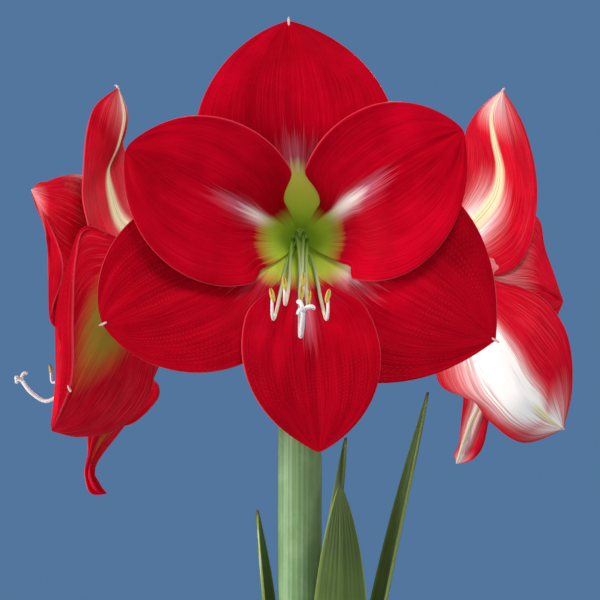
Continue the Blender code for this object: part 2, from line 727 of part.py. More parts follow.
def make_stamens(name, bloom, finish, parts):
    """Six filaments with their anthers, held by the small crown at the top of the flower tube."""
    low = TUBE_LENGTH + GAP
    hub = turned(
        name + "_stamens",
        [
            (HUB_INNER_RADIUS, low), (HUB_INNER_RADIUS, low + HUB_HEIGHT), (HUB_OUTER_RADIUS, low + HUB_HEIGHT),
            (HUB_OUTER_RADIUS, low), (HUB_INNER_RADIUS, low),
        ],
        12, finish, parts,
    )
    pieces = []
    for i, stamen in enumerate(STAMENS):
        route = through(hung(stamen_route(stamen), bloom), FILAMENT_STEPS)
        radii = [FILAMENT_RADIUS * (1 - 0.25 * k / FILAMENT_STEPS) for k in range(FILAMENT_STEPS + 1)]
        pieces.append(tube(f"{name}_filament_{i + 1}", route, radii, 6, finish, parts))
        pieces.append(make_anther(f"{name}_anther_{i + 1}", -stamen.side, route[-1], finish, parts))
    stamens = joined(hub, pieces)
    place_in(stamens, bloom_frame(bloom))
    return stamens


def make_style(name, bloom, finish, parts):
    """The style, which reaches past the anthers and ends in a stigma of three curled lobes."""
    route = through(hung(STYLE_ROUTE, bloom), 12)
    style = tube(name + "_style", route, [STYLE_RADIUS] * len(route), 6, finish, parts)
    end = route[-1]
    ahead = (route[-1] - route[-2]).normalized()
    side = ahead.cross(Vector((1, 0, 0))).normalized()
    lobes = []
    for i in range(3):
        away = Matrix.Rotation(math.tau * (i + 0.25) / 3, 3, ahead) @ side
        path = [
            end - ahead * 1.2,
            end + ahead * STIGMA_LENGTH * 0.35 + away * STIGMA_LENGTH * 0.3,
            end + ahead * STIGMA_LENGTH * 0.5 + away * STIGMA_LENGTH * 0.8,
            end + ahead * STIGMA_LENGTH * 0.2 + away * STIGMA_LENGTH * 1.1,
        ]
        lobes.append(tube(f"{name}_lobe_{i + 1}", path, [0.8, 0.9, 0.8, 0.5], 6, finish, parts))
    style = joined(style, lobes)
    place_in(style, bloom_frame(bloom))
    return style


def leaf_point(leaf, along, across):
    """A place on a strap-shaped leaf: a channelled blade that turns from one heading to another."""
    pulls = [leaf.foot, leaf.pull_low, leaf.pull_high, leaf.tip]
    centre = bezier(pulls, along)
    ahead = (bezier(pulls, min(1.0, along + 0.01)) - bezier(pulls, max(0.0, along - 0.01))).normalized()
    face = outward(leaf.face_foot + (leaf.face_tip - leaf.face_foot) * smooth(along, 0.1, 0.75))
    side = ahead.cross(face).normalized()
    face = side.cross(ahead)
    width = leaf.width * (0.62 + 0.38 * smooth(along, 0.1, 0.6)) * max(0.0, 1 - along**5) ** leaf.blunt
    channel = leaf.channel_foot + (leaf.channel - leaf.channel_foot) * smooth(along, 0, 0.5)
    turn = across * width / 2 / channel
    return centre + side * channel * math.sin(turn) + face * channel * (1 - math.cos(turn))


def make_leaf(name, leaf, finish, parts):
    return blade(
        name, LEAF_COLUMNS, LEAF_ROWS,
        lambda along, across: leaf_point(leaf, along, across),
        LEAF_THICKNESS, finish, parts,
    )


def make_bract(name, heading, hang, finish, parts):
    """A withered spathe valve: it clasps the stalk's top and hangs beside it."""
    out = outward(heading)
    held = STALK_TOP_RADIUS + 0.6 + GAP + BRACT_THICKNESS / 2
    pulls = [
        out * held + Vector((0, 0, STALK_TOP - 11)),
        out * held + Vector((0, 0, STALK_TOP + 16)),
        out * (held + 18) + Vector((0, 0, STALK_TOP + 8)),
        out * (held + 11) + Vector((0, 0, STALK_TOP - hang)),
    ]

    def point(along, across):
        centre = bezier(pulls, along)
        ahead = (bezier(pulls, min(1.0, along + 0.01)) - bezier(pulls, max(0.0, along - 0.01))).normalized()
        side = Vector((out.y, -out.x, 0))
        face = side.cross(ahead)
        if face.dot(out) < 0 and along < 0.5:
            face = -face
        width = BRACT_WIDTH * max(0.0, 1 - along**2.2) ** 0.8
        channel = held + 14 * along
        turn = across * width / 2 / channel
        return centre + side * channel * math.sin(turn) - face * channel * (1 - math.cos(turn))

    return blade(name, 4, 8, point, BRACT_THICKNESS, finish, parts)


def main():
    for old in list(bpy.data.objects):
        bpy.data.objects.remove(old)
    scene = bpy.context.scene
    parts = bpy.data.collections.new("amaryllis_in_pot")
    cutters = bpy.data.collections.new("cutters")
    for group in (parts, cutters):
        scene.collection.children.link(group)

    make_pot(parts, cutters)
    make_soil(parts)
    make_bulb(parts)
    make_stalk(parts, cutters)
    for name, leaf in LEAVES.items():
        make_leaf(name, leaf, material(name + "_green", (0.13, 0.30, 0.06), 0.5), parts)
    for name, (heading, hang) in BRACTS.items():
        make_bract(name, heading, hang, material(name + "_husk", (0.50, 0.36, 0.20), 0.8), parts)
    for name, bloom in BLOOMS.items():
        make_pedicel(name, bloom, material(name + "_stem_green", (0.28, 0.48, 0.14), 0.5), parts)
        make_perianth(name, bloom, material(name + "_red", (0.62, 0.01, 0.03), 0.5), parts)
        make_stamens(name, bloom, material(name + "_stamen_white", (0.85, 0.83, 0.70), 0.5), parts)
        make_style(name, bloom, material(name + "_style_white", (0.86, 0.80, 0.78), 0.5), parts)


main()
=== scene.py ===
"""An amaryllis in a pot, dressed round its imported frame.

Shapes are worked out in millimetres and become metres where they are made. A bloom has a frame of its own:
its origin is the foot of the flower tube, +Z runs out of the mouth, +Y is its upper side, and angles in it
run anticlockwise as seen from the front.
"""

import json
import math
import random
from collections import namedtuple
from functools import partial

import bmesh
import bpy
from mathutils import Matrix, Vector, noise

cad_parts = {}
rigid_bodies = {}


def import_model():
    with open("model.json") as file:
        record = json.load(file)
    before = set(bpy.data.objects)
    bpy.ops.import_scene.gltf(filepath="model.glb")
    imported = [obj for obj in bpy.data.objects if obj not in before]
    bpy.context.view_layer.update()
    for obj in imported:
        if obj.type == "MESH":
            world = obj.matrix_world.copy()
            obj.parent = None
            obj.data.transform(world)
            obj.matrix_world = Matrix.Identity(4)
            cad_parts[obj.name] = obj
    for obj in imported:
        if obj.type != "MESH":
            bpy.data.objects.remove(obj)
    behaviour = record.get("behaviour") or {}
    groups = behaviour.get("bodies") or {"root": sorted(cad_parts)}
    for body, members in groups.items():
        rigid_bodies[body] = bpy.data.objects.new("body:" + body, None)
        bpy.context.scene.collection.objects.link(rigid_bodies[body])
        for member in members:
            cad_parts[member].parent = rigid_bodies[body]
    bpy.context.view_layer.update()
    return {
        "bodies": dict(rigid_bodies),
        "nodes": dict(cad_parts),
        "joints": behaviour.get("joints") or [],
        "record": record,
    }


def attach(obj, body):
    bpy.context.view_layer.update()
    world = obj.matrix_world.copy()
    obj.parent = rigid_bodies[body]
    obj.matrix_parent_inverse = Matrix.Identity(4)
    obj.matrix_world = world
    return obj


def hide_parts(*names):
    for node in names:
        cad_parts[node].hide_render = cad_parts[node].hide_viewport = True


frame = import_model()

MM = 0.001

# Sizes, as the solids have them

POT_HEIGHT, POT_FOOT_RADIUS, POT_TOP_RADIUS = 140.0, 55.0, 76.0
POT_WALL, POT_FLOOR, RIM_HEIGHT, RIM_STEP = 6.0, 9.0, 30.0, 4.5
DRAIN_HOLES, DRAIN_HOLE_RADIUS, DRAIN_HOLE_CIRCLE = 3, 5.0, 28.0
SOIL_TOP = 121.0
BULB_FOOT, BULB_RADIUS, BULB_WIDEST = 60.0, 46.0, 100.0
NECK_RADIUS, NECK_TOP, NECK_HOLLOW_RADIUS, NECK_HOLLOW_FLOOR = 27.0, 178.0, 24.0, 154.0
STALK_TOP, STALK_FOOT_RADIUS, STALK_RADIUS, STALK_TOP_RADIUS = 552.0, 13.6, 12.6, 11.6
PEDICEL_RADIUS, PEDICEL_CIRCLE, OVARY_RADIUS, OVARY_LENGTH = 3.6, 5.6, 6.2, 17.0
TUBE_LENGTH, TUBE_FOOT_RADIUS, TUBE_TOP_RADIUS = 12.0, 6.4, 8.4
ROOT_RADIUS, ROOT_HEIGHT, FUNNEL_DEPTH, FUNNEL_RATE, FUNNEL_POWER = 6.0, 5.0, 90.0, 0.105, 0.76
LAYER_GAP, LAYER_RISE = 1.5, 5.0
TIP_STRETCH, TIP_ROUNDING = 0.96, 16
TEPAL_THICKNESS = 0.9
FILAMENT_RADIUS, FILAMENT_CIRCLE, ANTHER_LENGTH, ANTHER_RADIUS = 1.0, 3.55, 7.5, 1.3
STYLE_RADIUS, STIGMA_LENGTH = 1.35, 5.0
LEAF_THICKNESS, LEAF_FOOT = 1.6, NECK_HOLLOW_FLOOR + 2.0
BRACT_THICKNESS, BRACT_WIDTH = 0.7, 20.0

# Sizes and counts that only this script has; a grid is (across, along)

TEPAL_GRID, LEAF_GRID, BRACT_GRID, FLAKE_GRID = (46, 74), (40, 110), (26, 60), (22, 26)
MARGIN_ANGLE, HEM_START, KEEL_WIDTH = 34, 0.78, 0.07
VALVE_THICKNESS, FLAKE_THICKNESS, FLAKES = 0.55, 0.3, 9
FILAMENT_STEPS, STYLE_STEPS, PEDICEL_STEPS, CROWN_SCALES = 34, 44, 40, 18
SOIL_GAP, SOIL_RINGS = 0.35, 34
EYE, SENSOR, FOCAL_PIXELS, PHOTO_PIXELS = (0, -1.2, 0.55), 36, 2064, 600

# A tepal seen from its front: its layer, the angle and the reach of its tip; what it spans to its left and
# to its right (a half-angle, how square the outline is and how blunt its tip is); the part of that span that
# each side has at its foot, and where it widens, as shares of the reach; how far its midrib swings on the
# way out, how far the midrib leaves the funnel at four places, and how far each margin is lifted.
Tepal = namedtuple("Tepal", "layer angle reach left right claws swing bends lift_left lift_right")
OPEN, NARROW = (0.62, 0.1, 0.5), (0.6, 0.2, 0.36)
# A tepal seen from its side: its layer, the angle of its foot, what its left margin, midrib and right
# margin pass through in the plant's millimetres, the hem of a margin that is turned back (its side and what
# it passes through), and where the hook of an outer tepal sits (along, across).
Drape = namedtuple("Drape", "layer angle left middle right hem hook")
Bloom = namedtuple("Bloom", "heading out rise tilt length sag tepals")
Leaf = namedtuple("Leaf", "foot pull_low pull_high tip width face_foot face_tip channel_foot channel blunt")
Stamen = namedtuple("Stamen", "root side depth dip out")

# The front bloom's lowest tepal is wider at its foot than its solid, and its upper right one is narrower to
# the left.
BLOOMS = {
    "front": Bloom(0, 48, 31, 0, 1.0, 0, [
        Tepal("outer", 93, 112, (95, 1.2, 0.8), (88, 1.6, 0.9), (OPEN, OPEN), 0, (0, 0, -2, -7), 0, 0),
        Tepal("inner", 153, 100, (100, 1.1, 0.9), (75, 1, 0.8), ((0.85, 0.25, 0.35), (0.6, 0.2, 0.35)),
              2, (0, 0, 0, -2), 2, 4),
        Tepal("outer", 204, 112, (95, 0.9, 0.7), (65, 1.2, 0.6), (OPEN, OPEN), 4, (0, 0, -2, -6), 0, 0),
        Tepal("inner", 275, 112, (43, 2.5, 1), (49, 2, 1.1), ((0.36, 0.1, 0.45), (0.52, 0.1, 0.45)),
              0, (0, 0, -3, -9), 2, 2),
        Tepal("outer", 332, 115, (95, 1.9, 1.1), (110, 1.5, 1.1), (OPEN, OPEN), -4, (0, 0, -2, -6), 0, 0),
        Tepal("inner", 33, 100, (61, 1.2, 0.7), (90, 1.8, 1.15), ((0.4, 0.2, 0.35), (0.85, 0.3, 0.35)),
              -6, (0, 0, 0, -2), 4, 2),
    ]),
    "left": Bloom(-110, 48, 29, 0, 0.92, 45, [
        Drape(
            "outer", 76,
            [(-77, 46, 597), (-94, 58, 608), (-103, 62, 622), (-106, 62, 637),
             (-108, 58, 649), (-107, 48, 660), (-108, 40, 670), (-109, 34, 677)],
            [(-77, 10, 586), (-93, 4, 588), (-105, 6, 596), (-112, 14, 613),
             (-114, 22, 628), (-108, 28, 643), (-105, 32, 660), (-109, 34, 677)],
            [(-78, -14, 572), (-96, -30, 568), (-114, -38, 577), (-121, -34, 596),
             (-124, -22, 618), (-124, -6, 640), (-121, 14, 663), (-109, 34, 677)],
            None,
            (1, 0),
        ),
        Tepal("inner", 150, 92, (58, 2, 0.9), (58, 2, 0.9), (NARROW, NARROW), 0, (0, 0, -4, -8), 2, 2),
        Drape(
            "outer", 207,
            [(-72, 38, 552), (-85, 46, 523), (-91, 50, 505), (-86, 50, 498),
             (-87, 50, 489), (-103, 52, 475), (-119, 56, 475), (-135, 58, 482)],
            [(-74, 48, 573), (-92, 66, 556), (-106, 76, 539), (-117, 80, 522),
             (-123, 80, 508), (-127, 76, 496), (-131, 68, 487), (-135, 58, 482)],
            [(-78, 60, 587), (-100, 84, 581), (-118, 96, 569), (-131, 100, 550),
             (-137, 98, 531), (-140, 90, 512), (-140, 76, 494), (-135, 58, 482)],
            None,
            (1, 0),
        ),
        Drape(
            "inner", 270,
            [(-73, 0, 550), (-87, -8, 521), (-104, -12, 495), (-121, -12, 475),
             (-122, -10, 462), (-124, -9, 450), (-121, -8, 439), (-112, -6, 438)],
            [(-69, 4, 550), (-82, -2, 521), (-100, -6, 495), (-112, -8, 474),
             (-120, -8, 460), (-122, -8, 450), (-118, -8, 441), (-112, -6, 438)],
            [(-64, 8, 550), (-77, 6, 521), (-90, 4, 495), (-105, 2, 474),
             (-117, -2, 458), (-119, -5, 450), (-116, -6, 444), (-112, -6, 438)],
            None,
            (1, 0),
        ),
        Drape(
            "outer", 302,
            [(-76, -16, 578), (-95, -38, 582), (-108, -49, 587), (-120, -54, 589),
             (-128, -55, 568), (-135, -54, 540), (-136, -50, 505), (-139, -45, 477)],
            [(-74, -14, 566), (-90, -36, 555), (-104, -48, 540), (-113, -53, 525),
             (-121, -55, 510), (-128, -53, 496), (-134, -50, 485), (-139, -45, 477)],
            [(-70, -2, 552), (-76, -6, 533), (-84, -8, 513), (-87, -10, 498),
             (-94, -14, 486), (-108, -22, 475), (-125, -34, 473), (-139, -45, 477)],
            (1, [(-76, -16, 578), (-95, -38, 582), (-108, -49, 587), (-120, -57, 588),
             (-123, -64, 571), (-124, -69, 540), (-126, -66, 504), (-139, -45, 477)]),
            (0.9, 1),
        ),
        Drape(
            "inner", 19.7,
            [(-77, 28, 588), (-102, 34, 606), (-117, 34, 619), (-129, 28, 624),
             (-139, 18, 623), (-147, 10, 620), (-152, 4, 618), (-156, -1, 614)],
            [(-78, 18, 582), (-100, 18, 585), (-116, 10, 591), (-127, 1, 596),
             (-136, -5, 602), (-144, -7, 606), (-151, -5, 610), (-156, -1, 614)],
            [(-76, 8, 572), (-96, 4, 559), (-114, -4, 548), (-131, -12, 536),
             (-142, -18, 537), (-144, -18, 560), (-145, -14, 586), (-156, -1, 614)],
            (-1, [(-76, 8, 572), (-96, 4, 559), (-114, -4, 548), (-131, -13, 537),
             (-141, -24, 543), (-135, -25, 564), (-139, -20, 583), (-156, -1, 614)]),
            (1, 0),
        ),
    ]),
    "right": Bloom(112, 48, 30, 0, 0.8, 4, [
        Drape(
            "outer", 102.7,
            [(90, -8, 572), (102, -20, 565), (114, -28, 564), (127, -31, 574),
             (134, -29, 597), (134, -24, 623), (128, -18, 650), (117, -10, 671)],
            [(88, 4, 583), (97, 0, 590), (105, -6, 598), (113, -12, 610),
             (115, -16, 625), (111, -18, 642), (110, -15, 657), (117, -10, 671)],
            [(86, 26, 596), (90, 28, 607), (94, 26, 618), (96, 22, 628),
             (97, 16, 638), (98, 9, 650), (105, 0, 662), (117, -10, 671)],
            None,
            (1, 0),
        ),
        Drape(
            "inner", 207,
            [(86, -10, 568), (100, -18, 555), (114, -22, 540), (126, -24, 529),
             (137, -25, 528), (142, -25, 533), (146, -24, 540), (150, -22, 549)],
            [(88, -8, 572), (99, -20, 567), (111, -26, 563), (123, -28, 561),
             (132, -28, 560), (139, -27, 557), (145, -25, 553), (150, -22, 549)],
            [(88, -4, 578), (104, -12, 579), (119, -17, 587), (130, -19, 599),
             (137, -20, 595), (139, -21, 581), (145, -22, 564), (150, -22, 549)],
            None,
            (1, 0),
        ),
        Drape(
            "outer", 245.2,
            [(83, -12, 553), (79, -20, 533), (77, -28, 515), (80, -34, 501),
             (96, -40, 494), (107, -41, 481), (126, -38, 469), (149, -30, 477)],
            [(90, -22, 559), (98, -40, 546), (106, -52, 529), (115, -57, 512),
             (122, -57, 499), (130, -52, 491), (138, -43, 484), (149, -30, 477)],
            [(89, -14, 568), (101, -28, 564), (113, -37, 560), (126, -43, 556),
             (138, -45, 548), (149, -43, 530), (153, -37, 502), (149, -30, 477)],
            None,
            (1, 0),
        ),
        Drape(
            "inner", 270,
            [(78, 6, 556), (82, 4, 532), (87, 0, 514), (94, -6, 497),
             (93, -10, 481), (92, -12, 468), (90, -13, 461), (90, -14, 456)],
            [(81, 0, 556), (87, -8, 533), (94, -14, 513), (103, -18, 494),
             (98, -19, 479), (94, -18, 468), (92, -16, 461), (90, -14, 456)],
            [(85, -4, 556), (91, -12, 533), (100, -18, 514), (109, -20, 497),
             (107, -20, 478), (104, -19, 465), (98, -17, 458), (90, -14, 456)],
            None,
            (1, 0),
        ),
        Tepal("outer", 338, 90, (52, 3, 0.9), (30, 3, 0.9), (OPEN, OPEN), 0, (0, 0, -8, -14), 0, 0),
        Tepal("inner", 32, 76, (52, 2, 0.9), (52, 2, 0.9), (NARROW, NARROW), 0, (0, 0, -4, -8), 2, 2),
    ]),
}

STAMENS = [
    Stamen(240, -14.0, 30.5, 43.0, 111.0),
    Stamen(300, 14.0, 31.0, 43.0, 112.0),
    Stamen(180, -7.8, 24.5, 35.5, 105.0),
    Stamen(0, 4.5, 31.5, 37.5, 102.0),
    Stamen(120, 0.6, 29.5, 36.0, 108.0),
    Stamen(60, 1.7, 22.5, 31.0, 103.0),
]
STYLE_ROUTE = [
    (0, 0, TUBE_LENGTH + 0.3), (0, -1.2, 30), (0, -14.5, 52), (0.2, -34, 78), (0.2, -47, 102),
    (0.4, -51, 121), (1.0, -47, 134), (1.6, -38, 142),
]

LEAVES = {
    "leaf_left": Leaf(
        (-14.8, 0, LEAF_FOOT), (-14.8, 1, 250), (-17, 4, 350), (-25, 8, 427),
        30, 90, 74, 14.8, 20, 0.9,
    ),
    "leaf_back": Leaf(
        (7.4, 12.8, LEAF_FOOT), (8, 14.6, 255), (15, 28, 370), (27, 16, 469),
        25, -30, -68, 14.8, 20, 0.9,
    ),
    "leaf_broad": Leaf(
        (16.2, -9.5, LEAF_FOOT), (17, -12, 250), (27, -30, 345), (23, -14, 445),
        43, -120, -168, 18.8, 32, 0.9,
    ),
    "leaf_right": Leaf(
        (20, 7.4, LEAF_FOOT), (24.5, 10, 250), (45, 14, 365), (75, 10, 496),
        27, -70, -72, 21, 20, 0.95,
    ),
}
BRACTS = {"bract_front": (20, 52), "bract_back": (196, 60)}

# The throat of a tepal: how far from the bloom's axis its green, its white and its flush of lilac reach,
# along the midrib, at its left margin and at its right margin, and how wide the streak along the midrib is.
Throat = namedtuple("Throat", "green white flush streak")
THROATS = {
    "front": [
        Throat((38, 26, 26), (38, 26, 26), (54, 32, 32), 0.34),
        Throat((20, 20, 14), (34, 22, 15), (52, 26, 18), 0.22),
        Throat((29, 26, 24), (33, 30, 28), (46, 40, 32), 0.5),
        Throat((25, 24, 24), (31, 28, 28), (58, 40, 38), 0.22),
        Throat((29, 24, 26), (38, 32, 30), (50, 40, 42), 0.45),
        Throat((22, 15, 20), (41, 16, 22), (58, 20, 26), 0.23),
    ],
    "left": [Throat((26, 22, 22), (32, 26, 26), (50, 36, 36), 0.3)] * 6,
    "right": [Throat((26, 22, 22), (34, 26, 26), (52, 36, 36), 0.3)] * 6,
}

# The outer side of a tepal: how plain its keel is, how wide at the foot and where along the tepal it starts;
# how white its flanks are, how wide to the left and to the right, and how far out; how far its olive foot
# reaches along the midrib in millimetres; and how white its tip is.
Back = namedtuple("Back", "keel keel_width keel_start pale pale_left pale_right pale_reach olive tip")
BACK_OUTER = Back(1.0, 0.11, 0.05, 0.6, 0.35, 0.35, 0.7, 0, 0.4)
BACK_INNER = Back(0.5, 0.06, 0.05, 0.35, 0.25, 0.25, 0.6, 0, 0)
BACKS = {
    "front": [BACK_OUTER, BACK_INNER] * 3,
    "left": [
        Back(1.0, 0.22, 0.05, 0.55, 0.3, 0.2, 0.3, 0, 0.4), BACK_INNER, BACK_OUTER,
        Back(0, 0.1, 0.05, 0, 0.5, 0.5, 0.5, 72, 0), Back(0, 0.2, 0.05, 0, 0.8, 0.8, 0.5, 78, 0),
        Back(0, 0.2, 0.05, 0.34, 0.5, 0.7, 0.6, 0, 0.4),
    ],
    "right": [
        Back(1.0, 0.16, 0.05, 0.8, 0.5, 0.6, 0.62, 0, 0.6), Back(0, 0.1, 0.05, 0.36, 0.9, 0.9, 0.7, 48, 0),
        Back(0.8, 0.2, 0.7, 1.35, 0.6, 0.26, 0.92, 0, 0.8), Back(1.0, 0.1, 0.05, 0.8, 0.5, 0.5, 1.0, 0, 1.0),
        BACK_OUTER, BACK_INNER,
    ],
}


# Sums

def clamp(x, low=0.0, high=1.0):
    return min(high, max(low, x))


def smooth(x, low=0.0, high=1.0):
    """0 below low, 1 above high and a soft step between them."""
    t = clamp((x - low) / (high - low))
    return t * t * (3 - 2 * t)


def bezier(points, t):
    """The point at t on the cubic curve pulled by four points."""
    a, b, c, d = (Vector(p) for p in points)
    s = 1 - t
    return a * s**3 + b * 3 * s * s * t + c * 3 * s * t * t + d * t**3


def bezier_ahead(points, t):
    """The direction of that curve at t."""
    return (bezier(points, min(1.0, t + 0.01)) - bezier(points, max(0.0, t - 0.01))).normalized()


def ridge(across, width):
    """1 on the midrib, falling away to both sides."""
    return math.exp(-((across / width) ** 2))


def catmull(a, b, c, d, t):
    """The place at t between b and c on the smooth curve through four places."""
    square, cube = 2 * a - 5 * b + 4 * c - d, 3 * b - a - 3 * c + d
    return 0.5 * (2 * b + (c - a) * t + square * t * t + cube * t**3)


def curve_at(points, along):
    """The place at a share of the way along one smooth curve through points."""
    spans = len(points) - 1
    place = clamp(along) * spans
    k = min(int(place), spans - 1)
    return catmull(*(points[int(clamp(j, 0, spans))] for j in (k - 1, k, k + 1, k + 2)), place - k)


def through(points, count):
    """count + 1 points, evenly spread by parameter, on one smooth curve through the given points."""
    p = [Vector(q) for q in points]
    p = [2 * p[0] - p[1], *p, 2 * p[-1] - p[-2]]
    spans = len(p) - 3
    route = []
    for i in range(count + 1):
        along = min(i / count * spans, spans - 1e-9)
        k = int(along)
        route.append(catmull(*p[k : k + 4], along - k))
    return route


def outward(heading):
    """The level direction of a heading: 0 is -Y, 90 is +X."""
    turn = math.radians(heading)
    return Vector((math.sin(turn), -math.cos(turn), 0))


def rough(x, y, z=0.0):
    """Smooth noise from -1 to 1."""
    return noise.noise(Vector((x, y, z)))


# Making and finishing pieces

def deselect():
    for thing in list(bpy.context.selected_objects):
        thing.select_set(False)


def only(piece):
    deselect()
    piece.select_set(True)
    bpy.context.view_layer.objects.active = piece


def edit(piece, *steps):
    """Runs edit-mode steps on all of a piece."""
    only(piece)
    bpy.ops.object.mode_set(mode="EDIT")
    bpy.ops.mesh.select_all(action="SELECT")
    for step in steps:
        step()
    bpy.ops.object.mode_set(mode="OBJECT")


def weld(distance=0.02):
    bpy.ops.mesh.remove_doubles(threshold=distance * MM)


def face_out():
    bpy.ops.mesh.normals_make_consistent(inside=False)


def applied(piece, kind, **settings):
    """Adds a modifier and applies it."""
    only(piece)
    step = piece.modifiers.new(kind.title(), kind)
    for name, value in settings.items():
        setattr(step, name, value)
    bpy.ops.object.modifier_apply(modifier=step.name)


def smoothed(piece):
    only(piece)
    bpy.ops.object.shade_smooth()
    return piece


def sheet(name, columns, rows, place, tints=None, frame=None):
    """A fine grid whose spot along (0 to 1) and across (-1 to 1) it lies at place(along, across)."""
    deselect()
    bpy.ops.mesh.primitive_grid_add(x_subdivisions=columns, y_subdivisions=rows, size=2, calc_uvs=True)
    piece = bpy.context.object
    piece.name = piece.data.name = name
    mesh = piece.data
    spots = [((vert.co.y + 1) / 2, vert.co.x) for vert in mesh.vertices]
    if tints:
        found = [tints(along, across) for along, across in spots]
        for key in found[0]:
            layer = mesh.attributes.new(key, "FLOAT", "POINT")
            layer.data.foreach_set("value", [f[key] for f in found])
    for vert, (along, across) in zip(mesh.vertices, spots):
        point = place(along, across)
        if frame:
            point = frame @ point
        vert.co = point * MM
    return piece


def rolled(name, sides, rows, place, frame=None):
    """A grid rolled into a closed skin: across -1 and 1 meet, and a row without width closes an end."""
    piece = sheet(name, sides, rows, place, None, frame)
    edit(piece, weld, face_out)
    return smoothed(piece)


def blade(name, grid, place, thickness):
    """A thin skin with two sides."""
    piece = sheet(name, *grid, place)
    edit(piece, weld)
    applied(piece, "SOLIDIFY", thickness=thickness * MM, offset=0)
    return smoothed(piece)


def eased(profile, reach, steps=4):
    """A profile of (radius, height) with its inner corners rounded."""
    points = [Vector(p) for p in profile]
    round_one = [points[0]]
    for before, corner, after in zip(points, points[1:], points[2:]):
        back, on = before - corner, after - corner
        room = min(reach, back.length / 2.2, on.length / 2.2)
        start, end = corner + back.normalized() * room, corner + on.normalized() * room
        for i in range(steps + 1):
            t = i / steps
            round_one.append(start * (1 - t) ** 2 + corner * 2 * t * (1 - t) + end * t * t)
    return [*round_one, points[-1]]


def turned(name, profile, sides, shift):
    """A profile of (radius, height) turned round Z; shift(radius, turn, height) moves its points."""
    rows = len(profile) - 1

    def place(along, across):
        radius, height = profile[round(along * rows)]
        turn = math.pi * across
        radius, height = shift(radius, turn, height)
        return Vector((radius * math.cos(turn), radius * math.sin(turn), height))

    return rolled(name, sides, rows, place)


def level_frames(route):
    """The direction and two crossways vectors at each point of a route, turning as little as they can."""
    ways = []
    side = None
    for i, point in enumerate(route):
        ahead = (route[min(i + 1, len(route) - 1)] - route[max(i - 1, 0)]).normalized()
        if side is None:
            side = ahead.cross(Vector((0.31, 0.95, 0.12))).normalized()
        side = (side - ahead * side.dot(ahead)).normalized()
        ways.append((ahead, side, ahead.cross(side)))
    return ways


def tube(name, route, radii, sides, frame=None, squeeze=None):
    """A closed tube along a route, with a radius at each point; squeeze(along, turn) makes it lobed."""
    route = [route[0], *route, route[-1]]
    radii = [0, *radii, 0]
    ways = level_frames(route[1:-1])
    ways = [ways[0], *ways, ways[-1]]
    rows = len(route) - 1

    def place(along, across):
        i = round(along * rows)
        turn = math.pi * across
        radius = radii[i] * (squeeze(along, turn) if squeeze else 1)
        _, side, up = ways[i]
        return route[i] + side * radius * math.cos(turn) + up * radius * math.sin(turn)

    return rolled(name, sides, rows, place, frame)


def blunt_ends(radii, start=0.5, end=0.75):
    """The radii with smaller ones at both ends, so that a tube's ends are rounded."""
    return [radii[0] * start, *radii[1:-1], radii[-1] * end]


def joined(name, pieces):
    only(pieces[0])
    for piece in pieces[1:]:
        piece.select_set(True)
    bpy.ops.object.join()
    pieces[0].name = pieces[0].data.name = name
    return pieces[0]


def finished(piece, slot, nodes, *materials):
    """Gives a piece its materials, the body that it rides on and the nodes that it stands for, which it
    hides. The slot is not used.
    """
    if materials:
        piece.data.materials.clear()
        for material in materials:
            piece.data.materials.append(material)
    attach(piece, "root")
    if nodes:
        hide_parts(*nodes)
    return piece


# Materials

class Value:
    """What one socket gives in a finish. Arithmetic on it adds Math nodes."""

    def __init__(self, finish, socket):
        self.finish, self.socket = finish, socket

    def sum(self, operation, *terms):
        return self.finish.node("ShaderNodeMath", {"operation": operation}, dict(enumerate(terms)))

    def __add__(self, other):
        return self.sum("ADD", self, other)

    def __radd__(self, other):
        return self.sum("ADD", other, self)

    def __sub__(self, other):
        return self.sum("SUBTRACT", self, other)

    def __rsub__(self, other):
        return self.sum("SUBTRACT", other, self)

    def __mul__(self, other):
        return self.sum("MULTIPLY", self, other)

    def __rmul__(self, other):
        return self.sum("MULTIPLY", other, self)

    def clamped(self):
        made = self.sum("ADD", self, 0.0)
        made.socket.node.use_clamp = True
        return made

    def absolute(self):
        return self.sum("ABSOLUTE", self)

    def sine(self):
        return self.sum("SINE", self)


def hue(red, green, blue):
    """A colour as eyes and screens count it, made linear."""
    shares = [c / 255 for c in (red, green, blue)]
    return tuple(c / 12.92 if c < 0.0405 else ((c + 0.055) / 1.055) ** 2.4 for c in shares)


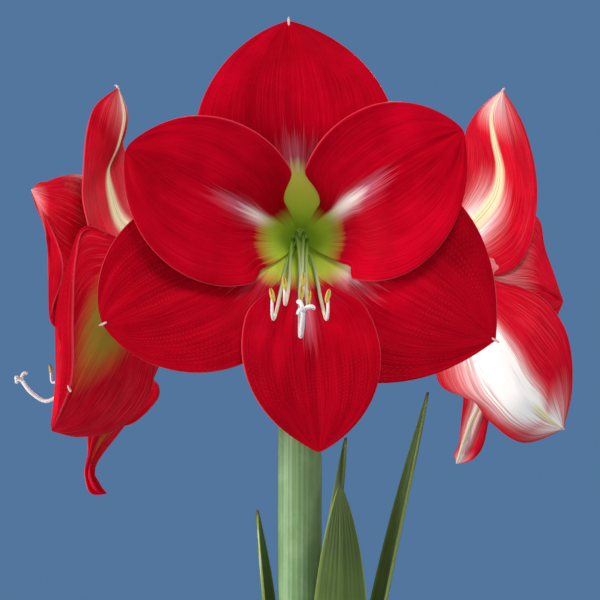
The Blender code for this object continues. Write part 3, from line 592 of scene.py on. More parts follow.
class Finish:
    """A procedural material. Every node but the sums comes from node()."""

    def __init__(self, name, **constants):
        self.material = bpy.data.materials.new(name)
        self.material.use_nodes = True
        self.tree = self.material.node_tree
        self.shader = self.tree.nodes["Principled BSDF"]
        for key, value in constants.items():
            self.set(self.shader.inputs[key.replace("_", " ").title().replace("Ior", "IOR")], value)

    def set(self, socket, value):
        if isinstance(value, Value):
            self.tree.links.new(value.socket, socket)
        elif isinstance(value, tuple) and socket.type == "RGBA":
            socket.default_value = (*value, 1)
        else:
            socket.default_value = value

    def node(self, kind, settings=None, sockets=None, output=0):
        made = self.tree.nodes.new(kind)
        for key, value in (settings or {}).items():
            setattr(made, key, value)
        for key, value in (sockets or {}).items():
            self.set(made.inputs[key], value)
        return Value(self, made.outputs[output])

    def attribute(self, name):
        return self.node("ShaderNodeAttribute", {"attribute_name": name}, output="Fac")

    def place(self):
        return self.node("ShaderNodeTexCoord", output="Object")

    def across_along(self):
        """The piece's own map: 0 to 1 across it and 0 to 1 along it."""
        return self.parts(self.node("ShaderNodeUVMap", {"uv_map": "UVMap"}))[:2]

    def parts(self, vector):
        """The three numbers of a vector."""
        split = self.node("ShaderNodeSeparateXYZ", None, {0: vector}).socket.node
        return [Value(self, output) for output in split.outputs]

    def spot(self, x, y, z=0.0):
        return self.node("ShaderNodeCombineXYZ", None, {0: x, 1: y, 2: z})

    def noise(self, where, scale, detail=2.0, roughness=0.5):
        sockets = {"Vector": where, "Scale": scale, "Detail": detail, "Roughness": roughness}
        return self.node("ShaderNodeTexNoise", None, sockets)

    def veins(self, x, y, z=0.0, detail=2.0, roughness=0.5):
        """Noise at a spot, drawn out where the spot's numbers have unlike scales."""
        return self.noise(self.spot(x, y, z), 1.0, detail, roughness)

    def cells(self, where, scale):
        return self.node("ShaderNodeTexVoronoi", None, {"Vector": where, "Scale": scale})

    def mix(self, first, second, share):
        return self.node("ShaderNodeMix", {"data_type": "RGBA"}, {0: share, 6: first, 7: second}, 2)

    def between(self, low, high, share):
        """From one hue to another as share goes from 0 to 1."""
        return self.mix(hue(*low), hue(*high), share.clamped())

    def over(self, ground, tone, share, strength=1.0):
        """A hue laid over a colour where share is high."""
        return self.mix(ground, hue(*tone), share.clamped() * strength)

    def bump(self, height, depth, strength=1.0):
        sockets = {"Height": height, "Distance": depth * MM, "Strength": strength}
        return self.node("ShaderNodeBump", None, sockets)

    def done(self, colour, roughness, normal):
        for name, value in (("Base Color", colour), ("Roughness", roughness), ("Normal", normal)):
            self.set(self.shader.inputs[name], value)
        return self.material


def petal_grain(finish):
    """The veins of a tepal at three sizes, and how near its margins a spot is."""
    u, v = finish.across_along()
    broad = finish.veins(u * 30.0, v * 1.6, 0.0, 3.0, 0.6)
    fine = finish.veins(u * 130.0, v * 4.0, 4.0, 3.0, 0.65)
    crumb = finish.noise(finish.place(), 1300.0, 2.0, 0.6)
    margin = (u - 0.5).absolute() * 2.0
    return u, v, broad, fine, crumb, margin


def petal_face():
    """The velvety inner side of a tepal: green in the throat, then white and lilac rays, then deep red. The
    throat's green has a painted glow for light shining through the petals, and the lower tepals' red is
    darkened as painted shade.
    """
    f = Finish(
        "petal_face", specular_ior_level=0.012, sheen_weight=0.03, sheen_roughness=0.4,
        sheen_tint=hue(255, 10, 40), subsurface_weight=0.06, subsurface_scale=0.002, emission_strength=0.3,
    )
    u, v, broad, fine, crumb, margin = petal_grain(f)
    cloud = f.noise(f.place(), 30.0, 3.0, 0.55)
    jitter = (broad - 0.5) * 1.6 + (fine - 0.5) * 1.6
    reach = f.attribute("reach")
    green = (f.attribute("green") * 1.1 + jitter * 0.4 + 0.5).clamped()
    white = (f.attribute("white") * 1.0 + jitter * 1.1 + 0.35).clamped()
    flush = (f.attribute("flush") * 0.4 + jitter * 0.9 + 0.1).clamped()
    red = f.between((156, 0, 18), (204, 2, 34), cloud * 2.2 - 0.6)
    red = f.mix(hue(146, 0, 14), red, (reach * 1.3 - 0.1 + (broad - 0.5) * 0.8).clamped())
    # Painted shade: the lower tepals, marked by the ladder field, have their red darkened because they get
    # less light.
    red = f.mix(red, hue(158, 0, 18), f.attribute("ladder") * 0.55)
    red = f.over(red, (128, 0, 10), (0.5 - fine) * 4.5, 0.5)
    red = f.over(red, (230, 24, 52), (fine - 0.53) * 4.0, 0.42)
    row = f.veins(u * 9.0, v * 7.0, 2.0, 2.0)
    ladder = (v * 560.0 + row * 14.0).sine() * 0.5 + 0.5
    rungs = ((u * 230.0 + row * 9.0).sine() * 0.5 + 0.5) * ladder
    rungs = (rungs * 2.4 - 1.1).clamped() * f.attribute("ladder")
    red = f.mix(red, hue(214, 44, 62), rungs * (row * 2.4 - 0.7).clamped() * 0.3)
    lilac = f.mix(hue(196, 40, 66), hue(222, 158, 184), f.attribute("streak"))
    colour = f.mix(red, lilac, flush * 0.55)
    colour = f.mix(colour, hue(244, 232, 222), white * f.attribute("streak"))
    leafy = f.between((156, 184, 48), (200, 202, 84), reach * 1.8 - 0.35 + (fine - 0.5) * 0.9)
    colour = f.mix(colour, leafy, green)
    # Painted glow: the throat's green shines by emission, standing in for light that comes through the thin
    # petals.
    through = green * (1.0 - reach * 0.8).clamped()
    f.set(f.shader.inputs["Emission Color"], f.mix(hue(0, 0, 0), hue(128, 158, 40), through))
    colour = f.over(colour, (226, 70, 88), (margin - 0.988) * 80.0, 0.5)
    relief = broad * 0.6 + fine * 0.4 + crumb * 0.2
    return f.done(colour, 0.5 + (crumb - 0.5) * 0.25, f.bump(relief, 0.6, 0.6))


def petal_back():
    """The outer side of a tepal: a pale keel with green lines, white flanks, red veins, an olive foot."""
    f = Finish(
        "petal_back", specular_ior_level=0.02, sheen_weight=0.03, sheen_roughness=0.4,
        sheen_tint=hue(255, 20, 50), subsurface_weight=0.06, subsurface_scale=0.002,
    )
    u, v, broad, fine, crumb, margin = petal_grain(f)
    thread = f.veins(u * 62.0, v * 2.6, 8.0, 3.0, 0.6)
    jitter = (thread - 0.5) * 2.2 + (fine - 0.5) * 1.8
    cloud = f.noise(f.place(), 34.0, 3.0, 0.55)
    red = f.between((178, 2, 24), (228, 10, 44), cloud * 2.0 - 0.5)
    red = f.over(red, (240, 92, 104), (fine - 0.51) * 4.5, 0.42)
    red = f.over(red, (146, 0, 16), (0.48 - thread) * 5.0, 0.5)
    pale = (f.attribute("pale") * 1.5 + jitter * f.attribute("pale") * 1.2 - 0.12).clamped()
    colour = f.mix(red, f.mix(hue(236, 150, 152), hue(255, 252, 248), pale), pale)
    olive = (f.attribute("olive") + jitter * 0.28 + 0.3).clamped()
    colour = f.mix(colour, f.mix(hue(206, 76, 48), hue(166, 142, 52), olive), olive)
    keel = (f.attribute("keel") * 1.7 + (fine - 0.5) * 0.3 - 0.15).clamped()
    colour = f.mix(colour, hue(236, 226, 184), keel)
    lines = (1.0 - (((u - 0.5).absolute() - 0.012).absolute()) * 200.0).clamped() * f.attribute("keel")
    colour = f.mix(colour, hue(160, 150, 76), lines * 0.8)
    colour = f.over(colour, (232, 90, 104), (margin - 0.99) * 90.0, 0.45)
    relief = thread * 0.6 + fine * 0.45 + crumb * 0.2
    return f.done(colour, 0.46 + (crumb - 0.5) * 0.2, f.bump(relief, 0.6, 0.6))


def petal_point():
    """The small hard hook at the tip of an outer tepal."""
    f = Finish("petal_point", specular_ior_level=0.35)
    grain = f.noise(f.place(), 900.0, 3.0)
    colour = f.between((232, 196, 196), (190, 150, 130), grain * 1.6 - 0.4)
    return f.done(colour, 0.42 + grain * 0.1, f.bump(grain, 0.15))


def stem_green(name, light, dark, wax=0.35):
    """A smooth green stem with fine upright streaks under a thin bloom of wax."""
    f = Finish(name, specular_ior_level=0.4, coat_weight=wax * 0.4, coat_roughness=0.45)
    u, v = f.across_along()
    streak = f.veins(u * 46.0, v * 1.6, 0.0, 3.0, 0.6)
    thread = f.veins(u * 150.0, v * 5.0, 3.0, 2.0, 0.6)
    wax_cloud = f.noise(f.place(), 60.0, 4.0, 0.6)
    colour = f.between(dark, light, streak * 1.5 - 0.25)
    waxen, shade = [min(255, c + 34) for c in light], [int(c * 0.72) for c in dark]
    colour = f.over(colour, waxen, (wax_cloud - 0.45) * 2.2, wax)
    colour = f.over(colour, shade, (thread - 0.58) * 5.0, 0.35)
    return f.done(colour, 0.42 + (wax_cloud - 0.5) * 0.2, f.bump(streak * 0.7 + thread * 0.3, 0.25, 0.5))


def leaf_green():
    """A strap leaf: parallel veins, margins painted lighter as if lit, a brown hooded tip and a pale
    sheathing foot.
    """
    f = Finish("leaf_green", specular_ior_level=0.42, coat_weight=0.1, coat_roughness=0.35)
    u, v = f.across_along()
    vein = f.veins(u * 40.0, v * 2.4, 0.0, 2.0, 0.6)
    thread = f.veins(u * 120.0, v * 9.0, 5.0, 2.0, 0.6)
    blotch = f.noise(f.place(), 55.0, 4.0, 0.6)
    margin = (u - 0.5).absolute() * 2.0
    colour = f.between((62, 88, 34), (102, 128, 56), vein * 1.2 + blotch * 0.7 - 0.45)
    colour = f.over(colour, (128, 152, 82), (thread - 0.56) * 4.0, 0.45)
    # Painted light: both margins are lighter green, standing in for the light that the turned margins catch
    # and let through.
    colour = f.over(colour, (150, 168, 84), (margin - 0.86) * 9.0 + (vein - 0.5), 0.75)
    colour = f.mix(hue(206, 206, 150), colour, (v * 7.0 - 0.3 + (vein - 0.5) * 1.2).clamped())
    colour = f.over(colour, (84, 48, 44), v * 90.0 - 89.0 + margin * 0.4 + (vein - 0.5) * 1.2, 0.8)
    relief = vein * 0.7 + thread * 0.3
    return f.done(colour, 0.4 + (blotch - 0.5) * 0.16, f.bump(relief, 0.35, 0.6))


def husk_paper(name, light, dark, edge):
    """Dry papery skin with long veins, blotches and worn edges."""
    f = Finish(name, specular_ior_level=0.3, sheen_weight=0.1, sheen_roughness=0.5)
    u, v = f.across_along()
    vein = f.veins(u * 30.0, v * 1.8, 0.0, 3.0, 0.6)
    thread = f.veins(u * 120.0, v * 4.0, 2.0, 2.0, 0.6)
    blotch = f.noise(f.place(), 70.0, 5.0, 0.62)
    colour = f.between(dark, light, vein * 0.9 + blotch * 1.1 - 0.5)
    colour = f.over(colour, edge, (thread - 0.55) * 4.0, 0.5)
    colour = f.over(colour, edge, ((u - 0.5).absolute() * 2.0 - 0.9) * 8.0, 0.6)
    return f.done(colour, 0.66 + (blotch - 0.5) * 0.3, f.bump(vein * 0.6 + thread * 0.4, 0.5, 0.8))


def filament_white():
    """A filament: green at its foot, white on the way and pink towards the anther."""
    f = Finish("filament_white", specular_ior_level=0.4, subsurface_weight=0.1, subsurface_scale=0.002)
    u, v = f.across_along()
    grain = f.veins(u * 12.0, v * 5.0, 0.0, 2.0)
    colour = f.between((134, 166, 66), (244, 242, 232), v * 2.4 - 0.75 + (grain - 0.5) * 0.4)
    colour = f.over(colour, (240, 214, 214), v * 3.0 - 1.9 + (grain - 0.5), 0.8)
    return f.done(colour, 0.4 + (grain - 0.5) * 0.15, f.bump(grain, 0.1, 0.5))


def style_white():
    """The style: white, flushed pink along its way, with a white stigma."""
    f = Finish("style_white", specular_ior_level=0.42, subsurface_weight=0.1, subsurface_scale=0.002)
    u, v = f.across_along()
    grain = f.veins(u * 6.0, v * 26.0, 0.0, 3.0)
    colour = f.between((188, 200, 150), (240, 232, 232), v * 2.4 - 0.5)
    flush = ((v - 0.2) * 3.0).clamped() * ((0.97 - v) * 8.0).clamped()
    colour = f.mix(colour, hue(216, 150, 172), ((grain - 0.42) * 3.0).clamped() * flush * 0.6)
    return f.done(colour, 0.38 + (grain - 0.5) * 0.12, f.bump(grain, 0.1, 0.5))


def stigma_white():
    f = Finish("stigma_white", specular_ior_level=0.3, subsurface_weight=0.1, subsurface_scale=0.002)
    down = f.cells(f.place(), 3800.0)
    colour = f.mix(hue(252, 250, 246), hue(226, 216, 214), down)
    return f.done(colour, 0.6 + down * 0.2, f.bump(down, 0.12, 0.8))


def pollen_yellow():
    """An open anther: grains of pollen in yellow, brown along the seam."""
    f = Finish("pollen_yellow", specular_ior_level=0.2)
    grain = f.cells(f.place(), 3400.0)
    blotch = f.noise(f.place(), 420.0, 3.0)
    colour = f.between((228, 206, 104), (196, 160, 60), grain * 1.3 + blotch - 0.8)
    seam = (f.attribute("seam") + (blotch - 0.5) * 0.6).clamped()
    colour = f.mix(colour, hue(112, 70, 30), seam * 0.85)
    return f.done(colour, 0.82 + (blotch - 0.5) * 0.2, f.bump(1.0 - grain, 0.2, 0.9))


def tube_green():
    """The flower tube and its crown of fringed scales, in a green with a painted glow that stands in for
    light shining through the petals.
    """
    # Painted glow: an even green emission lights the tube's hollow, as if light came through the petals.
    f = Finish(
        "tube_green", specular_ior_level=0.35, subsurface_weight=0.06, subsurface_scale=0.002,
        emission_color=hue(110, 140, 40), emission_strength=0.2,
    )
    grain = f.noise(f.place(), 420.0, 3.0, 0.6)
    cloud = f.noise(f.place(), 90.0, 3.0)
    colour = f.between((160, 190, 60), (206, 218, 110), grain * 0.8 + cloud * 0.8 - 0.3)
    return f.done(colour, 0.45 + (grain - 0.5) * 0.2, f.bump(grain, 0.2, 0.6))


def crown_white():
    f = Finish("crown_white", specular_ior_level=0.35)
    grain = f.noise(f.place(), 1500.0, 3.0, 0.6)
    colour = f.mix(hue(222, 212, 176), hue(250, 248, 236), grain)
    return f.done(colour, 0.5 + (grain - 0.5) * 0.2, f.bump(grain, 0.1))


def terracotta():
    """Fired clay: wheel rings, pale salt bloom low down, dark damp specks, small grit."""
    f = Finish("terracotta", specular_ior_level=0.25)
    where = f.place()
    height = f.parts(where)[2]
    rings = f.veins(0.0, 0.0, height * 420.0, 3.0, 0.6)
    cloud = f.noise(where, 22.0, 5.0, 0.6)
    grit = f.noise(where, 950.0, 3.0, 0.65)
    pits = f.cells(where, 520.0)
    colour = f.between((160, 82, 54), (198, 118, 84), cloud * 1.5 - 0.25)
    colour = f.over(colour, (142, 72, 48), (rings - 0.52) * 3.0, 0.4)
    colour = f.over(colour, (214, 150, 120), (grit - 0.58) * 5.0, 0.5)
    salt = (cloud * 2.2 + grit * 0.7 - 1.35 - (height * 6.0 - 0.2).clamped()).clamped()
    colour = f.mix(colour, hue(226, 206, 190), salt * 0.6)
    colour = f.over(colour, (112, 62, 46), (cloud - 0.62) * 4.0, 0.35)
    relief = rings * 0.5 + grit * 0.35 + (pits * 3.0).clamped() * 0.25
    return f.done(colour, 0.84 + (grit - 0.5) * 0.2, f.bump(relief, 0.4, 0.8))


def soil_dark():
    """Moist potting soil: crumbs of several browns."""
    f = Finish("soil_dark", specular_ior_level=0.3)
    where = f.place()
    crumb = f.cells(where, 260.0)
    fine = f.noise(where, 900.0, 4.0, 0.7)
    cloud = f.noise(where, 60.0, 4.0)
    colour = f.between((32, 22, 16), (72, 50, 34), crumb * 0.8 + fine * 0.8 - 0.45)
    colour = f.over(colour, (108, 80, 54), (fine - 0.6) * 6.0, cloud)
    return f.done(colour, 0.9 + (fine - 0.5) * 0.2, f.bump(crumb * 0.5 + fine * 0.5, 1.4, 0.9))


def bark_brown():
    f = Finish("bark_brown", specular_ior_level=0.25)
    drawn_out = f.node("ShaderNodeMapping", None, {"Vector": f.place(), "Scale": (900, 240, 240)})
    grain = f.noise(drawn_out, 1.0, 4.0, 0.6)
    colour = f.between((54, 34, 22), (128, 88, 56), grain * 1.6 - 0.3)
    return f.done(colour, 0.88, f.bump(grain, 0.6))


def perlite_white():
    f = Finish("perlite_white", specular_ior_level=0.25)
    pores = f.cells(f.place(), 1600.0)
    colour = f.between((190, 184, 170), (244, 242, 234), pores * 1.6)
    return f.done(colour, 0.9, f.bump(pores, 0.5))


def bulb_skin():
    """The bulb's dry tunic: brown paper with dark veins, worn through to pale green near the neck."""
    f = Finish("bulb_skin", specular_ior_level=0.3, sheen_weight=0.05)
    u, v = f.across_along()
    where = f.place()
    height = f.parts(where)[2]
    vein = f.veins(u * 60.0, height * 18.0, 0.0, 3.0, 0.6)
    thread = f.veins(u * 230.0, height * 50.0, 7.0, 2.0, 0.6)
    blotch = f.noise(where, 46.0, 5.0, 0.65)
    colour = f.between((86, 50, 30), (156, 104, 62), vein * 0.9 + blotch * 1.2 - 0.55)
    colour = f.over(colour, (60, 34, 22), (thread - 0.56) * 5.0, 0.6)
    bare = ((height - 0.142) * 60.0 + (vein - 0.5) * 2.4 + (blotch - 0.5) * 2.0).clamped()
    green = f.mix(hue(150, 160, 92), hue(196, 196, 140), vein)
    colour = f.mix(colour, green, bare)
    return f.done(colour, 0.6 + (blotch - 0.5) * 0.3, f.bump(vein * 0.6 + thread * 0.4, 0.5, 0.8))


def studio_floor():
    f = Finish("studio_floor", specular_ior_level=0.2)
    grain = f.noise(f.place(), 40.0, 4.0)
    return f.done(f.mix(hue(196, 204, 210), hue(204, 211, 216), grain), 0.85, f.bump(grain, 0.2, 0.3))


# Blooms

def bloom_frame(bloom):
    """The matrix, in millimetres, from a bloom's own frame to the plant's."""
    level = outward(bloom.heading)
    tilt = math.radians(bloom.tilt)
    facing = level * math.cos(tilt) + Vector((0, 0, math.sin(tilt)))
    side = Vector((math.cos(math.radians(bloom.heading)), math.sin(math.radians(bloom.heading)), 0))
    placing = Matrix((side, facing.cross(side), facing)).transposed().to_4x4()
    placing.translation = level * bloom.out + Vector((0, 0, STALK_TOP + bloom.rise))
    return placing


def funnel_height(radius):
    """How far out of the tube's foot the outer whorl lies at a radius from the bloom's axis."""
    grown = max(0.0, radius - ROOT_RADIUS) ** FUNNEL_POWER
    return ROOT_HEIGHT + (FUNNEL_DEPTH - ROOT_HEIGHT) * (1 - math.exp(-FUNNEL_RATE * grown))


def tepal_spread(tepal, along, across):
    """The radius, the share of the reach and the turn at a spot of a tepal."""
    root = ROOT_RADIUS - (LAYER_GAP if tepal.layer == "inner" else 0)
    radius = root + (tepal.reach - root) * (1 - math.cos(math.pi * along**1.15)) / 2
    share = radius / tepal.reach
    spread, square, blunt = tepal.left if across > 0 else tepal.right
    narrow, low, high = tepal.claws[0 if across > 0 else 1]
    stretch = TIP_STRETCH if tepal.layer == "inner" else 1.0
    half = spread * max(0.0, 1 - (share * stretch) ** square) ** blunt
    half *= narrow + (1 - narrow) * smooth(share, low, high)
    if tepal.layer == "inner":
        half *= math.sqrt(max(0.0, 1 - share**TIP_ROUNDING))
    half = min(half, math.degrees(4.0 + 1.6 * radius) / max(radius, 1.0))
    middle = tepal.angle - tepal.swing * (1 - share)
    return radius, share, math.radians(middle + across * half)


def tepal_point(tepal, along, across):
    """A place on a tepal seen from its front, in its bloom's frame."""
    radius, share, turn = tepal_spread(tepal, along, across)
    inner = tepal.layer == "inner"
    height = funnel_height(radius + (LAYER_GAP if inner else 0)) + curve_at((0, 0, *tepal.bends), share)
    if inner:
        height += LAYER_RISE * smooth(share, 0.08, 0.5)
    margin = abs(across) ** 3 * smooth(share, 0.2, 0.5) * (1 - smooth(share, 0.8, 0.97))
    height += (tepal.lift_left if across > 0 else tepal.lift_right) * margin
    body = smooth(share, 0.15, 0.4) * (1 - smooth(share, 0.9, 1.0))
    seed = tepal.angle * 0.37
    height -= 1.0 * body * ridge(across, KEEL_WIDTH)
    height += 2.2 * body * rough(across * 2.6, share * 1.9, seed) * (1 - 0.4 * abs(across))
    height += 0.5 * body * rough(across * 9.0, share * 2.6, seed + 9)
    height += 1.4 * margin * rough(share * 9.0, across * 1.5, seed + 3)
    return Vector((radius * math.cos(turn), radius * math.sin(turn), height))


def draped_point(drape, frame):
    """A function that gives a place, in its bloom's frame, on a tepal that passes through given points: an
    arch through its margins and its midrib, with a margin that turns back at its hem."""
    inverse = frame.inverted()
    root = ROOT_RADIUS - (LAYER_GAP if drape.layer == "inner" else 0)

    def from_foot(points, aside):
        turn = math.radians(drape.angle + aside)
        way = Vector((math.cos(turn), math.sin(turn), 0))
        feet = [way * r + Vector((0, 0, funnel_height(r))) for r in (root, root + 2.5)]
        return [*feet, *(inverse @ Vector(point) for point in points)]

    left = from_foot(drape.left, MARGIN_ANGLE)
    middle = from_foot(drape.middle, 0)
    right = from_foot(drape.right, -MARGIN_ANGLE)
    side = drape.hem[0] if drape.hem else 0
    margin = left if side > 0 else right
    hem = from_foot(drape.hem[1], MARGIN_ANGLE * side) if drape.hem else None
    seed = drape.angle * 0.37

    def ahead_on(points, along):
        return curve_at(points, along + 0.01) - curve_at(points, along - 0.01)

    def place(along, across):
        over = 0.0
        if across * side > HEM_START:
            over = (across * side - HEM_START) / (1 - HEM_START)
            across = side
        elif across * side > 0:
            across /= HEM_START
        a, m, b = (curve_at(points, along) for points in (left, middle, right))
        arch = (a + b) / 2 - m
        level = (a - b) / 2 + arch * 2 * across
        point = m + (a - b) / 2 * across + arch * across * across
        body = smooth(along, 0.15, 0.4) * (1 - smooth(along, 0.88, 1.0))
        relief = -1.0 * ridge(across, KEEL_WIDTH) + 2.0 * rough(across * 2.6, along * 3.0, seed)
        relief += 0.5 * rough(across * 9.0, along * 4.0, seed + 9)
        relief += 0.8 * abs(across) ** 3 * rough(along * 12, 0, seed)
        point += ahead_on(middle, along).cross(level).normalized() * relief * body
        if over:
            edge, folded = curve_at(margin, along), curve_at(hem, along)
            way = ahead_on(margin, along).normalized()
            out = (level - way * level.dot(way)).normalized() * side
            face = way.cross(out) * side
            room = min(1.5, (folded - edge).length * 0.5)
            pull, end = point + (out - face) * room, folded + point - edge
            point = point * (1 - over) ** 2 + pull * 2 * over * (1 - over) + end * over * over
        return point

    return place


def reach_at(reaches, across, streak):
    """How far a throat colour reaches across a tepal: the midrib's reach, drawn down to each margin's."""
    middle, left, right = reaches
    side = left if across > 0 else right
    return side + (middle - side) * ridge(across, streak)


def tepal_tints(tepal, throat, back):
    """A function that gives a tepal's colour fields: its throat's colours and the markings of its back."""
    draped = isinstance(tepal, Drape)

    def tints(along, across):
        radius, share = (110 * along, along) if draped else tepal_spread(tepal, along, across)[:2]
        outer_part = smooth(share, 0.45, 0.75)
        keel = ridge(across, max(back.keel_width * (1.25 - share), 0.03))
        width = back.pale_left if across > 0 else back.pale_right
        flank = 1 - smooth(share, back.pale_reach - 0.3, back.pale_reach + 0.15)
        tip = back.tip * smooth(share, 0.72, 0.97) * ridge(across, 0.75)
        return {
            "green": (reach_at(throat.green, across, throat.streak) - radius) / 10,
            "white": (reach_at(throat.white, across, throat.streak) - radius) / 10,
            "flush": (reach_at(throat.flush, across, throat.streak) - radius) / 10,
            "streak": math.exp(-((across / (throat.streak * 0.6)) ** 2)),
            "reach": clamp(radius / 40),
            # ladder marks the outer part of the lower tepals: it places their ladder of dots, and it darkens
            # their red as painted shade.
            "ladder": outer_part * smooth(-math.sin(math.radians(tepal.angle)) + 0.6, 0, 0.8),
            "keel": back.keel * keel * smooth(share, back.keel_start, back.keel_start + 0.15),
            "pale": max(back.pale * flank * ridge(across, width), tip),
            "olive": (back.olive * ridge(across, 0.7) - radius) / 24 if back.olive else -2.0,
        }

    return tints


def make_tepal(name, node, tepal, throat, back, frame, finishes):
    """One tepal: a thin blade with an inner and an outer side, and the outer whorl's hooked tip."""
    face, back_finish, point_finish = finishes
    draped = isinstance(tepal, Drape)
    place = draped_point(tepal, frame) if draped else partial(tepal_point, tepal)
    piece = sheet(name, *TEPAL_GRID, place, tepal_tints(tepal, throat, back), frame)
    edit(piece, weld)
    middle = frame @ place(0.55, 0)
    facing = (frame @ place(0.56, 0) - middle).cross(frame @ place(0.55, 0.05) - middle)
    nearest = min(piece.data.polygons, key=lambda polygon: (polygon.center / MM - middle).length)
    if nearest.normal.dot(facing) < 0:
        edit(piece, bpy.ops.mesh.flip_normals)
    piece.data.materials.append(face)
    piece.data.materials.append(back_finish)
    sides = {"material_offset": 1, "material_offset_rim": 1}
    applied(piece, "SOLIDIFY", thickness=TEPAL_THICKNESS * MM, offset=0, **sides)
    smoothed(piece)
    if tepal.layer == "outer":
        along, across = tepal.hook if draped else (1, 0)
        tip, near = place(along, across), place(along - 0.07, across * 0.7)
        ahead = (tip - near).normalized()
        lift = frame.to_3x3().inverted() @ facing.normalized()
        lift = (lift - ahead * lift.dot(ahead)) * (-1 if across else 1)
        end = tip + ahead * 1.8 + lift * 1.6
        route = through([tip - ahead * 3, tip, tip + ahead * 1.4 + lift * 0.4, end], 9)
        radii = [0.3, 0.7, 0.8, 0.75, 0.7, 0.6, 0.55, 0.45, 0.35, 0.2]
        hook = tube(name + "_hook", route, radii, 10, frame)
        hook.data.materials.append(point_finish)
        piece = joined(name, [piece, hook])
    return finished(piece, "petal", [node])


def make_flower_tube(name, node, frame, finishes):
    """The short tube at a bloom's foot, hollow at its mouth, with a crown of small fringed scales."""
    tube_finish, crown_finish = finishes
    foot, mouth = TUBE_FOOT_RADIUS, TUBE_TOP_RADIUS
    corners = [
        (0, 0.0), (foot, 0.0), (foot + 0.6, 4.0), (mouth, TUBE_LENGTH), (mouth - 1.4, TUBE_LENGTH + 0.4),
        (5.6, TUBE_LENGTH - 0.6), (0, TUBE_LENGTH - 0.8),
    ]

    def three_sided(radius, turn, height):
        return radius * (1 + 0.035 * math.cos(3 * turn) * smooth(height, 0, 6)), height

    throat = turned(name, eased(corners, 1.2), 48, three_sided)
    throat.data.materials.append(tube_finish)
    scales = []
    for i in range(CROWN_SCALES):
        turn = math.tau * (i + 0.5) / CROWN_SCALES
        out = Vector((math.cos(turn), math.sin(turn), 0))
        tall = 3.0 + 1.2 * rough(i * 1.7, 2.2)
        stations = ((5.4, -1), (5.0, tall * 0.5), (4.7, tall))
        route = [out * radius + Vector((0, 0, TUBE_LENGTH + rise)) for radius, rise in stations]
        scales.append(tube(f"{name}_scale_{i}", through(route, 4), [0.5, 0.55, 0.45, 0.3, 0.15], 6))
        scales[-1].data.materials.append(crown_finish)
    piece = joined(name, [throat, *scales])
    placing = frame.copy()
    placing.translation = frame.translation * MM
    piece.data.transform(placing)
    return finished(piece, "petal", [node])


def hung(route, bloom):
    """A route of the front bloom's stamens or style, made as long and as low as in the given bloom."""
    low = TUBE_LENGTH + 10
    shrink = min(1.0, bloom.length)
    return [
        Vector((
            x,
            y * (1 - (1 - shrink) * smooth(z, low, 60)) - bloom.sag * smooth(z, 76, 116),
            z if z < low else low + (z - low) * bloom.length,
        ))
        for x, y, z in route
    ]


def stamen_route(stamen):
    """The way of a filament: straight out of the tube, down to the lower tepals and up again at its end."""
    turn = math.radians(stamen.root)
    root = Vector((math.cos(turn), math.sin(turn), 0)) * FILAMENT_CIRCLE
    start = TUBE_LENGTH + 0.9
    return [
        root + Vector((0, 0, start - 3)),
        root * 1.15 + Vector((0, -0.6, start + 15)),
        Vector((stamen.side * 0.45 + root.x * 0.4, root.y * 0.5 - stamen.dip * 0.26, 50)),
        Vector((stamen.side * 0.75, -stamen.dip * 0.72, stamen.out - 32)),
        Vector((stamen.side * 0.93, -stamen.dip * 0.98, stamen.out - 9)),
        Vector((stamen.side * 1.0, -stamen.dip * 0.93, stamen.out)),
        Vector((stamen.side, -stamen.depth, stamen.out + 1.5)),
    ]


def make_anther(name, middle, lean, frame, finish):
    """An open anther: two sacs side by side, curved, with a seam between them."""
    deselect()
    bpy.ops.mesh.primitive_uv_sphere_add(segments=14, ring_count=16, radius=1)
    anther = bpy.context.object
    anther.name = anther.data.name = name
    mesh = anther.data
    seam = mesh.attributes.new("seam", "FLOAT", "POINT")
    placing = Matrix.Translation(middle) @ Matrix.Rotation(math.radians(lean), 4, "Z")
    values = []
    for vert in mesh.vertices:
        x, z, y = vert.co
        groove = ridge(x, 0.28)
        values.append(clamp(groove * 1.1 * (1 if y > 0 else 0.4)))
        side = 1 - 0.35 * groove
        spot = Vector((
            x * ANTHER_RADIUS * (1 + 0.1 * rough(y * 5, x * 3)),
            y * ANTHER_LENGTH / 2,
            z * ANTHER_RADIUS * 0.85 * side + 0.5 * y * y,
        ))
        vert.co = (frame @ (placing @ spot)) * MM
    seam.data.foreach_set("value", values)
    edit(anther, face_out)
    mesh.materials.append(finish)
    return smoothed(anther)


def make_stamens(name, node, bloom, frame, finishes):
    filament_finish, pollen_finish = finishes
    filaments, anthers = [], []
    radii = [FILAMENT_RADIUS * (1.05 - 0.3 * k / FILAMENT_STEPS) for k in range(FILAMENT_STEPS + 1)]
    for i, stamen in enumerate(STAMENS):
        route = through(hung(stamen_route(stamen), bloom), FILAMENT_STEPS)
        filaments.append(tube(f"{name}_filament_{i + 1}", route, blunt_ends(radii), 12, frame))
        filaments[-1].data.materials.append(filament_finish)
        anthers.append(make_anther(f"{name}_anther_{i + 1}", route[-1], -stamen.side, frame, pollen_finish))
    finished(joined(name + "_filaments", filaments), "filament", [node])
    finished(joined(name + "_anthers", anthers), "filament", [node])


